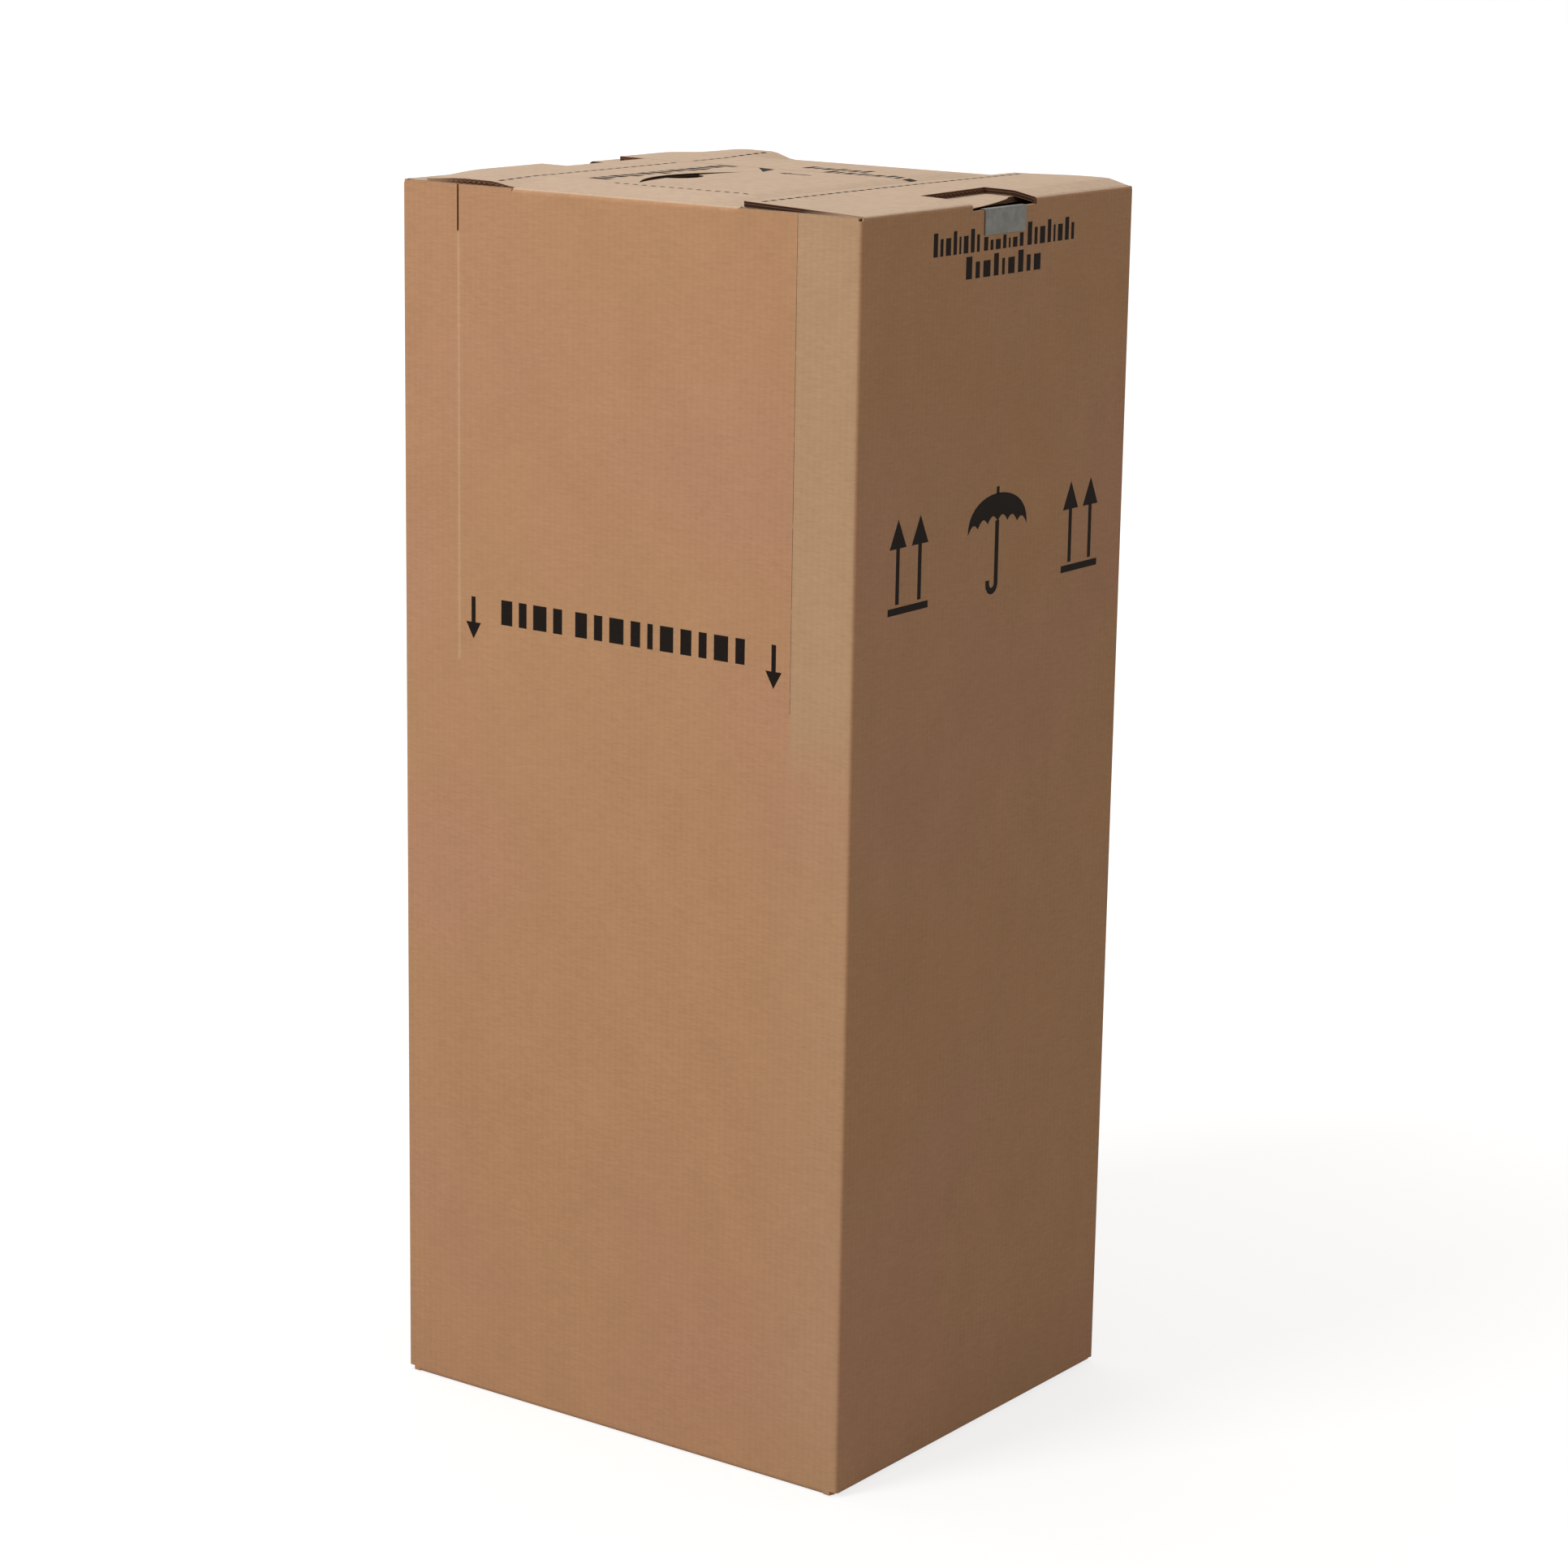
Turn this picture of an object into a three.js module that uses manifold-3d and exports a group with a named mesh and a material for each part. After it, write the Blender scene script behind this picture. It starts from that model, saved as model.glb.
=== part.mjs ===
// A tall wardrobe moving box: one folded sheet of double-wall board, its right top flap, and the steel
// clothes rail that hangs over the two side walls.
//
// Millimetres, +Z up. The origin is the middle of the bottom. X runs along the wide front wall and the front
// wall faces -Y. The sheet is built from its walls, its folds and its flaps, which are joined into one solid,
// and the openings that are punched in the flat sheet are cut last.

import * as THREE from 'three';
import { mergeVertices } from 'three/addons/utils/BufferGeometryUtils.js';
import Module from 'manifold-3d';

// Driving sizes of the carton
const WIDTH = 600;
const DEPTH = 510;
const HEIGHT = 1350;
const BOARD = 6;
const CORNER_RADIUS = 5;
const INNER_CORNER_RADIUS = 1;
const SEAT = 0.3;

// Fold-down door in the front wall, between two perforated cuts
const DOOR_INSET = 78;
const DOOR_DROP = 510;
const CUT_WIDTH = 1.2;
const CUT_TIE = 4;
const CUT_PITCH = 88;
const OPEN_CUT_WIDTH = 2.6;
const OPEN_CUT_LENGTH = 50;

// Openings over the side folds, where the rail hangs and a hand goes in
const HOOK_OPENING_WIDTH = 120;
const HOOK_OPENING_REACH = 66;
const HOOK_NOTCH_DEPTH = 7.5;
const HOOK_CENTRE_Y = 2;

// Top flaps
const FOLD_HALF_WIDTH = 148;
const FREE_EDGE_DROP = 1;
const SIDE_FLAP_REACH = 150;
const SIDE_FLAP_CLEARANCE = 0.5;
const SIDE_FLAP_CORNER = 34;
const FRONT_FLAP_REACH = 335;
const EAR_CLEARANCE = 30;
const FLAP_MEETING_GAP = 1;

// How the closed top flaps lie, as heights above or below the top of the walls
const MIDDLE_RISE = 5.6;
const MIDDLE_RISE_LENGTH = 80;
const LEFT_TILT = 1.2;
const LEFT_SAG = 4.5;
const LEFT_SAG_LENGTH = 90;
const LEFT_SAG_START = 25;
const FRONT_EAR_LIFT = 3.4;
const BACK_EAR_LIFT = 6.8;
const EAR_LIFT_LENGTH = 100;
const EAR_BLEND = 34;
const EAR_SPRING_LENGTH = 55;
const EAR_SPRING_LEAD = 5;
const RIGHT_BLEND = 50;
const RIGHT_EAR_SAG = 20;
const HELD_LENGTH = 40;
const CUT_FREE_LENGTH = 10;
const RIGHT_FRONT_LIFT = 5.9;
const RIGHT_BACK_LIFT = 6.6;
const RIGHT_BACK_DROOP = 2.1;
const RIGHT_SPRING_LENGTH = 33;
const RIGHT_DROOP_START = 56;
const RIGHT_SWELL = 1;
const RIGHT_FLAP_SEAT = 0.6;
const CRUSHED_CORNER = 3;

// Curved hand slot in the front flap, with its thumb notch
const SLOT_LENGTH = 184;
const SLOT_CENTRE_X = -53;
const SLOT_CENTRE_Y = -68;
const SLOT_OUTER_BOW = 35;
const SLOT_INNER_BOW = 15;
const THUMB_RADIUS = 30;
const THUMB_INSET = 8;

// Outer fold of the right flap, where the flap and its wall part
const SPLIT_RADIUS = 4;

// Bottom flaps
const BOTTOM_FLAP_REACH = 254;
const OUTER_FLAP_SIDE_GAP = 17;
const INNER_FOLD_HEIGHT = 2.5;
const INNER_FLAP_RAMP = 10;
const CORNER_CUT_RADIUS = 9;
const CORNER_CUT_HEIGHT = 6;
const TOP_CORNER_CUT_RADIUS = 4;
const FREE_BOTTOM_EDGE = 1.5;

// Glued joint inside the back left corner
const TAB_WIDTH = 40;
const TAB_END_GAP = 20;
const JOINT_GROOVE = 1.2;

// Clothes rail, one strip of steel
const STEEL = 1;
const RAIL_WIDTH = 77;
const HOOK_PLATE_LENGTH = 27;
const RAIL_DROP = 43;
const RAIL_BEND = 2;
const RAIL_RIDGE_WIDTH = 30;
const RAIL_FLAT_END = 20;
const RAIL_FORMING_LENGTH = 50;
const RAIL_LEG_ANGLE = 84;

// Faces that follow from the driving sizes
const OUTER_X = WIDTH / 2;
const OUTER_Y = DEPTH / 2;
const INNER_X = OUTER_X - BOARD;
const INNER_Y = OUTER_Y - BOARD;
const FLAP_Y = INNER_Y - SIDE_FLAP_CLEARANCE;
const LEFT_EDGE_X = -OUTER_X + SIDE_FLAP_REACH;
const RIGHT_EDGE_X = OUTER_X - SIDE_FLAP_REACH;
const EAR_X = OUTER_X - EAR_CLEARANCE;
const MEETING_Y = -OUTER_Y + FRONT_FLAP_REACH;
const HOOK_Y0 = HOOK_CENTRE_Y - HOOK_OPENING_WIDTH / 2;
const HOOK_Y1 = HOOK_CENTRE_Y + HOOK_OPENING_WIDTH / 2;
const HOOK_X = OUTER_X - HOOK_OPENING_REACH;
const NOTCH_Z = HEIGHT - HOOK_NOTCH_DEPTH;
const DOOR_X = OUTER_X - DOOR_INSET;
const DOOR_Z = HEIGHT - DOOR_DROP;

// How the bodies are built: how far cutters run past a face, or above and below the top flaps, how far bodies
// that are joined run into each other, and how fine the curves are
const PAST = 2;
const THROUGH = 40;
const CUT_PAST = 0.1;
const OVERLAP = 0.5;
const SKIM = 0.05;
const MERGE_DISTANCE = 1e-4;
const CURVE_STEPS = 12;
const ARC_STEPS = 6;

const { Manifold, Mesh } = await loadSolids();

async function loadSolids() {
  const wasm = await Module();
  wasm.setup();
  return wasm;
}

// Closed bodies from triangles, and triangles from a body

function solid(geometry) {
  geometry.deleteAttribute('normal');
  geometry.deleteAttribute('uv');
  const merged = mergeVertices(geometry, MERGE_DISTANCE);
  return new Manifold(new Mesh({
    numProp: 3,
    vertProperties: new Float32Array(merged.attributes.position.array),
    triVerts: new Uint32Array(merged.index.array),
  }));
}

function geometryOf(body) {
  const mesh = body.getMesh();
  const geometry = new THREE.BufferGeometry();
  geometry.setAttribute('position', new THREE.BufferAttribute(new Float32Array(mesh.vertProperties), 3));
  geometry.setIndex(new THREE.BufferAttribute(new Uint32Array(mesh.triVerts), 1));
  geometry.computeVertexNormals();
  return geometry;
}

function joined(bodies) {
  return bodies.reduce((sum, body) => sum.add(body));
}

function cutBy(body, cutters) {
  return cutters.reduce((rest, cutter) => rest.subtract(cutter), body);
}

// A block between two corners
function block(x0, x1, y0, y1, z0, z1) {
  const geometry = new THREE.BoxGeometry(x1 - x0, y1 - y0, z1 - z0);
  geometry.translate((x0 + x1) / 2, (y0 + y1) / 2, (z0 + z1) / 2);
  return solid(geometry);
}

// A shape pushed straight along Z, from one height to another
function risen(shape, z0, z1) {
  const depth = z1 - z0;
  const geometry = new THREE.ExtrudeGeometry(shape, { depth, bevelEnabled: false, curveSegments: CURVE_STEPS });
  geometry.translate(0, 0, z0);
  return solid(geometry);
}

// An outline of [y, z] points pushed along X
function alongX(points, x0, x1) {
  const shape = new THREE.Shape(points.map(([y, z]) => new THREE.Vector2(y, z)));
  const geometry = new THREE.ExtrudeGeometry(shape, { depth: x1 - x0, bevelEnabled: false });
  const turn = new THREE.Matrix4().makeBasis(
    new THREE.Vector3(0, 1, 0), new THREE.Vector3(0, 0, 1), new THREE.Vector3(1, 0, 0));
  geometry.applyMatrix4(turn);
  geometry.translate(x0, 0, 0);
  return solid(geometry);
}

// An outline of [x, z] points pushed along Y
function alongY(points, y0, y1) {
  const shape = new THREE.Shape(points.map(([x, z]) => new THREE.Vector2(z, x)));
  const geometry = new THREE.ExtrudeGeometry(shape, { depth: y1 - y0, bevelEnabled: false });
  const turn = new THREE.Matrix4().makeBasis(
    new THREE.Vector3(0, 0, 1), new THREE.Vector3(1, 0, 0), new THREE.Vector3(0, 1, 0));
  geometry.applyMatrix4(turn);
  geometry.translate(0, y0, 0);
  return solid(geometry);
}

// Points on an arc in a plane, from one angle to another, in degrees
function arc(cx, cy, radius, from, to, steps = ARC_STEPS) {
  const points = [];
  for (let i = 0; i <= steps; i += 1) {
    const angle = THREE.MathUtils.degToRad(from + (to - from) * i / steps);
    points.push([cx + radius * Math.cos(angle), cy + radius * Math.sin(angle)]);
  }
  return points;
}

// A closed body through rows of points. Each row holds one face of the sheet and then its other face in
// reverse, so point i of the first face lies over point i from the end of the other.
function lofted(rows) {
  const count = rows[0].length;
  const half = count / 2;
  const vertices = rows.flat().flat();
  const faces = [];
  const quad = (a, b, c, d) => faces.push(a, b, c, a, c, d);
  for (let r = 0; r + 1 < rows.length; r += 1) {
    for (let i = 0; i < count; i += 1) {
      const j = (i + 1) % count;
      quad(r * count + i, r * count + j, (r + 1) * count + j, (r + 1) * count + i);
    }
  }
  const last = (rows.length - 1) * count;
  for (let i = 0; i + 1 < half; i += 1) {
    quad(i, count - 1 - i, count - 2 - i, i + 1);
    quad(last + i, last + i + 1, last + count - 2 - i, last + count - 1 - i);
  }
  const geometry = new THREE.BufferGeometry();
  geometry.setAttribute('position', new THREE.Float32BufferAttribute(vertices, 3));
  geometry.setIndex(signedVolume(vertices, faces) < 0 ? faces.reverse() : faces);
  return solid(geometry);
}

function signedVolume(vertices, faces) {
  const corner = (i) => new THREE.Vector3().fromArray(vertices, i * 3);
  let volume = 0;
  for (let f = 0; f < faces.length; f += 3) {
    volume += corner(faces[f]).dot(corner(faces[f + 1]).cross(corner(faces[f + 2]))) / 6;
  }
  return volume;
}

// Evenly spread places from a to b, with both ends
function spread(a, b, steps) {
  return Array.from({ length: steps + 1 }, (_, i) => a + (b - a) * i / steps);
}

// A sheet of board over the given places, whose upper face lies at HEIGHT plus rise(x, y)
function sheet(xs, ys, rise) {
  return lofted(xs.map((x) => {
    const upper = ys.map((y) => [x, y, HEIGHT + rise(x, y)]);
    const lower = ys.map((y) => [x, y, HEIGHT + rise(x, y) - BOARD]).reverse();
    return [...upper, ...lower];
  }));
}

function smooth(t) {
  const c = THREE.MathUtils.clamp(t, 0, 1);
  return c * c * (3 - 2 * c);
}

// Heights of the closed top flaps. The left flap lies lowest, the front and back flaps rest on it with their
// left ears, and the right flap lies on their right ears.

function leftRise(x, y) {
  const reach = (x + OUTER_X) / SIDE_FLAP_REACH;
  const nearEnd = 1 - smooth((INNER_Y - Math.abs(y)) / LEFT_SAG_LENGTH);
  return -LEFT_TILT * reach - LEFT_SAG * smooth((x + INNER_X) / LEFT_SAG_START) * nearEnd;
}

function rightRise(x, y) {
  const fromFold = OUTER_X - x;
  const reach = fromFold / SIDE_FLAP_REACH;
  const along = (y + OUTER_Y) / DEPTH;
  const front = RIGHT_FRONT_LIFT * reach;
  const droop = smooth((fromFold - RIGHT_DROOP_START) / (SIDE_FLAP_REACH - RIGHT_DROOP_START));
  const back = RIGHT_BACK_LIFT * smooth(fromFold / RIGHT_SPRING_LENGTH) - RIGHT_BACK_DROOP * droop;
  const swell = RIGHT_SWELL * Math.sin(Math.PI * along) * reach;
  return THREE.MathUtils.lerp(front, back, smooth(along)) + swell;
}

// One end flap, in terms of the distance from its fold. The lift raises the left ear off the left flap, and
// the sag lets the right ear hang into the box.
function endRise(x, y, fromFold, lift, sag) {
  const middle = MIDDLE_RISE * smooth(fromFold / MIDDLE_RISE_LENGTH);
  if (x < 0) {
    const inward = smooth((x + EAR_X + EAR_SPRING_LEAD) / EAR_SPRING_LENGTH);
    const springing = lift * inward * (1 - smooth(fromFold / EAR_LIFT_LENGTH));
    const ear = leftRise(x, y) + BOARD + SEAT + springing;
    return THREE.MathUtils.lerp(middle, ear, smooth((-FOLD_HALF_WIDTH - x) / EAR_BLEND));
  }
  const outward = smooth((x - RIGHT_EDGE_X + RIGHT_BLEND) / RIGHT_BLEND);
  const cutFree = smooth((x - RIGHT_EDGE_X + CUT_FREE_LENGTH) / CUT_FREE_LENGTH);
  const held = THREE.MathUtils.lerp(smooth(fromFold / HELD_LENGTH), 1, cutFree);
  const hanging = sag * smooth((x - RIGHT_EDGE_X) / (EAR_X - RIGHT_EDGE_X));
  const ear = rightRise(Math.max(x, RIGHT_EDGE_X), y) - BOARD - RIGHT_FLAP_SEAT - hanging;
  return THREE.MathUtils.lerp(middle, ear, outward * held);
}

const frontRise = (x, y) => endRise(x, y, y + INNER_Y, FRONT_EAR_LIFT, 0);
const backRise = (x, y) => endRise(x, y, INNER_Y - y, BACK_EAR_LIFT, RIGHT_EAR_SAG);

// Places along an end flap, closer together where it bends
const EAR_PLACES = [
  ...spread(-EAR_X, -FOLD_HALF_WIDTH - EAR_BLEND, 5),
  ...spread(-FOLD_HALF_WIDTH - EAR_BLEND, -FOLD_HALF_WIDTH, 4).slice(1),
  -FOLD_HALF_WIDTH / 2,
  0,
  ...spread(RIGHT_EDGE_X - RIGHT_BLEND, RIGHT_EDGE_X, 5),
  ...spread(RIGHT_EDGE_X, EAR_X, 4).slice(1),
];

// The quarter round of a fold, whose inner corner is at the given point of a plane
function quarterRound(cx, cz, sx, sz) {
  const rim = arc(0, 0, BOARD, 0, 90).map(([a, b]) => [cx + sx * a, cz + sz * b]);
  return [[cx, cz], ...rim];
}

function roundedRectangle(halfX, halfY, radius) {
  const shape = new THREE.Shape();
  const corners = [[1, 1, 0], [-1, 1, 90], [-1, -1, 180], [1, -1, 270]];
  const points = corners.flatMap(([sx, sy, start]) => (
    arc(sx * (halfX - radius), sy * (halfY - radius), radius, start, start + 90)));
  shape.setFromPoints(points.map(([x, y]) => new THREE.Vector2(x, y)));
  return shape;
}

// The four walls, still without openings, each cut down to where its flap's fold starts
function walls() {
  const outline = roundedRectangle(OUTER_X, OUTER_Y, CORNER_RADIUS);
  const inside = roundedRectangle(INNER_X, INNER_Y, INNER_CORNER_RADIUS);
  outline.holes.push(inside);
  const tube = risen(outline, 0, HEIGHT - FREE_EDGE_DROP);
  const foldZ = HEIGHT - BOARD;
  const top = HEIGHT + PAST;
  return cutBy(tube, [
    block(-FOLD_HALF_WIDTH, FOLD_HALF_WIDTH, -OUTER_Y - PAST, OUTER_Y + PAST, foldZ, top),
    block(-OUTER_X - PAST, 0, -FLAP_Y, FLAP_Y, foldZ, top),
    alongY(splitBelow(), -INNER_Y, INNER_Y),
    alongY(splitRound(), -INNER_Y, INNER_Y),
  ]);
}

// The space over the slanted top of the right wall, where its flap parts from it
function splitBelow() {
  const gap = SEAT * Math.SQRT2;
  const far = BOARD + PAST;
  return [
    [OUTER_X + PAST, HEIGHT + PAST - gap],
    [OUTER_X + PAST, HEIGHT + far],
    [OUTER_X - far, HEIGHT + far],
    [OUTER_X - far, HEIGHT - far - gap],
  ];
}

// The space outside the rounded edge of the right fold
function splitRound() {
  return [
    ...arc(OUTER_X - SPLIT_RADIUS, HEIGHT - SPLIT_RADIUS, SPLIT_RADIUS, 90, 0),
    [OUTER_X + PAST, HEIGHT - SPLIT_RADIUS],
    [OUTER_X + PAST, HEIGHT + BOARD],
    [OUTER_X - SPLIT_RADIUS, HEIGHT + BOARD],
  ];
}

// Left, front and back top flaps with their folds
function topFlaps() {
  const foldZ = HEIGHT - BOARD;
  const leftXs = [
    ...spread(-INNER_X, -INNER_X + LEFT_SAG_START, 3),
    ...spread(-INNER_X + LEFT_SAG_START, LEFT_EDGE_X, 3).slice(1),
  ];
  const endYs = spread(-FLAP_Y, -FLAP_Y + LEFT_SAG_LENGTH, 6);
  const left = cutBy(sheet(leftXs, [...endYs, 0, ...endYs.map((y) => -y).reverse()], leftRise), [
    cornerCut(LEFT_EDGE_X, -FLAP_Y, -1, 1, SIDE_FLAP_CORNER),
    cornerCut(LEFT_EDGE_X, FLAP_Y, -1, -1, SIDE_FLAP_CORNER),
  ]);
  const frontYs = [
    ...spread(-FLAP_Y, -FLAP_Y + EAR_LIFT_LENGTH, 7),
    ...spread(-FLAP_Y + EAR_LIFT_LENGTH, MEETING_Y - FLAP_MEETING_GAP / 2, 4).slice(1),
  ];
  const backYs = [
    ...spread(MEETING_Y + FLAP_MEETING_GAP / 2, FLAP_Y - EAR_LIFT_LENGTH, 2),
    ...spread(FLAP_Y - EAR_LIFT_LENGTH, FLAP_Y, 7).slice(1),
  ];
  const hookSpace = block(-EAR_X - PAST, -HOOK_X, HOOK_Y0, MEETING_Y, HEIGHT - THROUGH, HEIGHT + THROUGH);
  return joined([
    left,
    cutBy(sheet(EAR_PLACES, frontYs, frontRise), [hookSpace]),
    sheet(EAR_PLACES, backYs, backRise),
    alongY(quarterRound(-INNER_X, foldZ, -1, 1), -FLAP_Y, FLAP_Y),
    alongX(quarterRound(-INNER_Y, foldZ, -1, 1), -FOLD_HALF_WIDTH, FOLD_HALF_WIDTH),
    alongX(quarterRound(INNER_Y, foldZ, 1, 1), -FOLD_HALF_WIDTH, FOLD_HALF_WIDTH),
    block(-INNER_X - OVERLAP, -INNER_X + OVERLAP, -FLAP_Y, FLAP_Y, foldZ, HEIGHT - SKIM),
    block(-FOLD_HALF_WIDTH, FOLD_HALF_WIDTH, -INNER_Y - OVERLAP, -FLAP_Y + OVERLAP, foldZ, HEIGHT - SKIM),
    block(-FOLD_HALF_WIDTH, FOLD_HALF_WIDTH, FLAP_Y - OVERLAP, INNER_Y + OVERLAP, foldZ, HEIGHT - SKIM),
  ]);
}

// A slanted cut across a flap's corner at [x, y]. The signs point from the corner into the flap.
function cornerCut(x, y, sx, sy, size) {
  const shape = new THREE.Shape([
    new THREE.Vector2(x - sx * PAST, y - sy * PAST),
    new THREE.Vector2(x + sx * size, y - sy * PAST),
    new THREE.Vector2(x - sx * PAST, y + sy * size),
  ]);
  return risen(shape, HEIGHT - THROUGH, HEIGHT + THROUGH);
}

// The outer flaps fold in from the front and back and meet in the middle, and the inner flaps lie on them
function bottomFlaps() {
  const outerX = OUTER_X - OUTER_FLAP_SIDE_GAP;
  const outerEnd = OUTER_Y - BOTTOM_FLAP_REACH;
  const innerEnd = OUTER_X - BOTTOM_FLAP_REACH;
  const innerZ = BOARD + SEAT;
  const foldZ = INNER_FOLD_HEIGHT + BOARD;
  const rampX = INNER_X - INNER_FLAP_RAMP;
  const inner = (side) => alongY([
    [side * INNER_X, INNER_FOLD_HEIGHT],
    [side * rampX, innerZ],
    [side * innerEnd, innerZ],
    [side * innerEnd, innerZ + BOARD],
    [side * rampX, innerZ + BOARD],
    [side * INNER_X, foldZ],
  ], -FLAP_Y, FLAP_Y);
  const outer = (side) => {
    const near = side * outerEnd;
    const far = side * INNER_Y;
    return block(-outerX, outerX, Math.min(near, far), Math.max(near, far), 0, BOARD);
  };
  return joined([
    outer(-1),
    outer(1),
    inner(-1),
    inner(1),
    alongX(quarterRound(-INNER_Y, BOARD, -1, -1), -outerX, outerX),
    alongX(quarterRound(INNER_Y, BOARD, 1, -1), -outerX, outerX),
    alongY(quarterRound(-INNER_X, foldZ, -1, -1), -FLAP_Y, FLAP_Y),
    alongY(quarterRound(INNER_X, foldZ, 1, -1), -FLAP_Y, FLAP_Y),
  ]);
}

// What is trimmed from the bottom edge of the walls: the folds take its place
function bottomTrim() {
  const outerX = OUTER_X - OUTER_FLAP_SIDE_GAP;
  const sideZ = INNER_FOLD_HEIGHT + BOARD;
  return [
    block(-outerX, outerX, -OUTER_Y - PAST, OUTER_Y + PAST, -PAST, BOARD),
    block(-OUTER_X - PAST, OUTER_X + PAST, -FLAP_Y, FLAP_Y, -PAST, sideZ),
    block(-OUTER_X - PAST, OUTER_X + PAST, -OUTER_Y - PAST, OUTER_Y + PAST, -PAST, FREE_BOTTOM_EDGE),
  ];
}

// Round notches where the slots between the flaps of the flat sheet end
function cornerNotches() {
  const notch = (x, y, radius, z0, z1) => {
    const shape = new THREE.Shape();
    shape.absarc(x, y, radius, 0, Math.PI * 2);
    return risen(shape, z0, z1);
  };
  const cuts = [];
  for (const sx of [-1, 1]) {
    for (const sy of [-1, 1]) {
      const x = sx * OUTER_X;
      const y = sy * OUTER_Y;
      cuts.push(notch(x, y, CORNER_CUT_RADIUS, -PAST, CORNER_CUT_HEIGHT));
      cuts.push(notch(x, y, TOP_CORNER_CUT_RADIUS, HEIGHT - TOP_CORNER_CUT_RADIUS, HEIGHT + PAST));
    }
  }
  return cuts;
}

// The perforated cuts beside the door. A few ties of board are left in each, and the left one has sprung
// open over its first stretch.
function doorCuts() {
  const cuts = [];
  for (const side of [-1, 1]) {
    const x = side * DOOR_X;
    const half = CUT_WIDTH / 2;
    let top = HEIGHT + PAST;
    for (let tie = HEIGHT - OPEN_CUT_LENGTH; tie > DOOR_Z; tie -= CUT_PITCH) {
      cuts.push(block(x - half, x + half, -OUTER_Y - PAST, -INNER_Y + CUT_PAST, tie, top));
      top = tie - CUT_TIE;
    }
    if (top - DOOR_Z > CUT_TIE) {
      cuts.push(block(x - half, x + half, -OUTER_Y - PAST, -INNER_Y + CUT_PAST, DOOR_Z, top));
    }
  }
  const wide = OPEN_CUT_WIDTH / 2;
  cuts.push(block(-DOOR_X - wide, -DOOR_X + wide, -OUTER_Y - PAST, -INNER_Y + CUT_PAST,
    HEIGHT - OPEN_CUT_LENGTH, HEIGHT + PAST));
  return cuts;
}

// The notches in both side walls that carry the rail, and the opening in the left flap beside its notch
function hookOpenings() {
  const high = HEIGHT + THROUGH;
  return [
    block(INNER_X - PAST, OUTER_X + PAST, HOOK_Y0, HOOK_Y1, NOTCH_Z, high),
    block(-OUTER_X - PAST, -INNER_X + PAST, HOOK_Y0, HOOK_Y1, NOTCH_Z, high),
    block(-INNER_X, -HOOK_X, HOOK_Y0, HOOK_Y1, HEIGHT - THROUGH, high),
  ];
}

// A crescent between two bowed lines with a half-moon notch for the thumb on its inner side
function handSlot() {
  const crescent = new THREE.Shape();
  const y0 = SLOT_CENTRE_Y - SLOT_LENGTH / 2;
  const y1 = SLOT_CENTRE_Y + SLOT_LENGTH / 2;
  const x = SLOT_CENTRE_X;
  crescent.moveTo(x, y0);
  crescent.quadraticCurveTo(x - 2 * SLOT_OUTER_BOW, SLOT_CENTRE_Y, x, y1);
  crescent.quadraticCurveTo(x - 2 * SLOT_INNER_BOW, SLOT_CENTRE_Y, x, y0);
  const thumb = new THREE.Shape();
  const chordX = x - SLOT_INNER_BOW;
  thumb.absarc(chordX - THUMB_INSET, SLOT_CENTRE_Y, THUMB_RADIUS, -Math.PI / 2, Math.PI / 2);
  thumb.closePath();
  return [crescent, thumb].map((shape) => risen(shape, HEIGHT - THROUGH, HEIGHT + THROUGH));
}

// The tab that the back wall is glued to, inside the back left corner
function glueTab() {
  const x0 = -INNER_X - PAST;
  const x1 = -INNER_X + TAB_WIDTH;
  return block(x0, x1, INNER_Y - BOARD, INNER_Y + PAST, TAB_END_GAP, HEIGHT - TAB_END_GAP - BOARD);
}

function carton() {
  const folded = joined([walls(), glueTab()]);
  const trimmed = cutBy(folded, [
    ...bottomTrim(),
    block(-OUTER_X - PAST, -OUTER_X + JOINT_GROOVE, INNER_Y - JOINT_GROOVE / 2, INNER_Y + JOINT_GROOVE / 2,
      -PAST, HEIGHT + PAST),
  ]);
  const whole = joined([trimmed, topFlaps(), bottomFlaps()]);
  return cutBy(whole, [
    ...doorCuts(),
    ...hookOpenings(),
    ...handSlot(),
    ...cornerNotches(),
  ]);
}

// The right top flap, parted from its wall by a slanted gap under the outer edge of the fold. The corners of
// its free edge are a little crushed.
function rightFlap() {
  const springX = INNER_X - RIGHT_SPRING_LENGTH;
  const xs = [...spread(RIGHT_EDGE_X, springX, 6), ...spread(springX, INNER_X, 3).slice(1), OUTER_X];
  const flat = sheet(xs, spread(-FLAP_Y, FLAP_Y, 14), rightRise);
  const under = [
    [OUTER_X + PAST, HEIGHT + PAST],
    [OUTER_X + PAST, HEIGHT - BOARD - PAST],
    [OUTER_X - BOARD - PAST, HEIGHT - BOARD - PAST],
  ];
  return cutBy(flat, [
    alongY(under, -OUTER_Y, OUTER_Y),
    alongY(splitRound(), -OUTER_Y, OUTER_Y),
    block(HOOK_X, OUTER_X + PAST, HOOK_Y0, HOOK_Y1, HEIGHT - THROUGH, HEIGHT + THROUGH),
    cornerCut(RIGHT_EDGE_X, FLAP_Y, 1, -1, CRUSHED_CORNER),
    cornerCut(RIGHT_EDGE_X, -FLAP_Y, 1, 1, CRUSHED_CORNER),
  ]);
}

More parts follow.
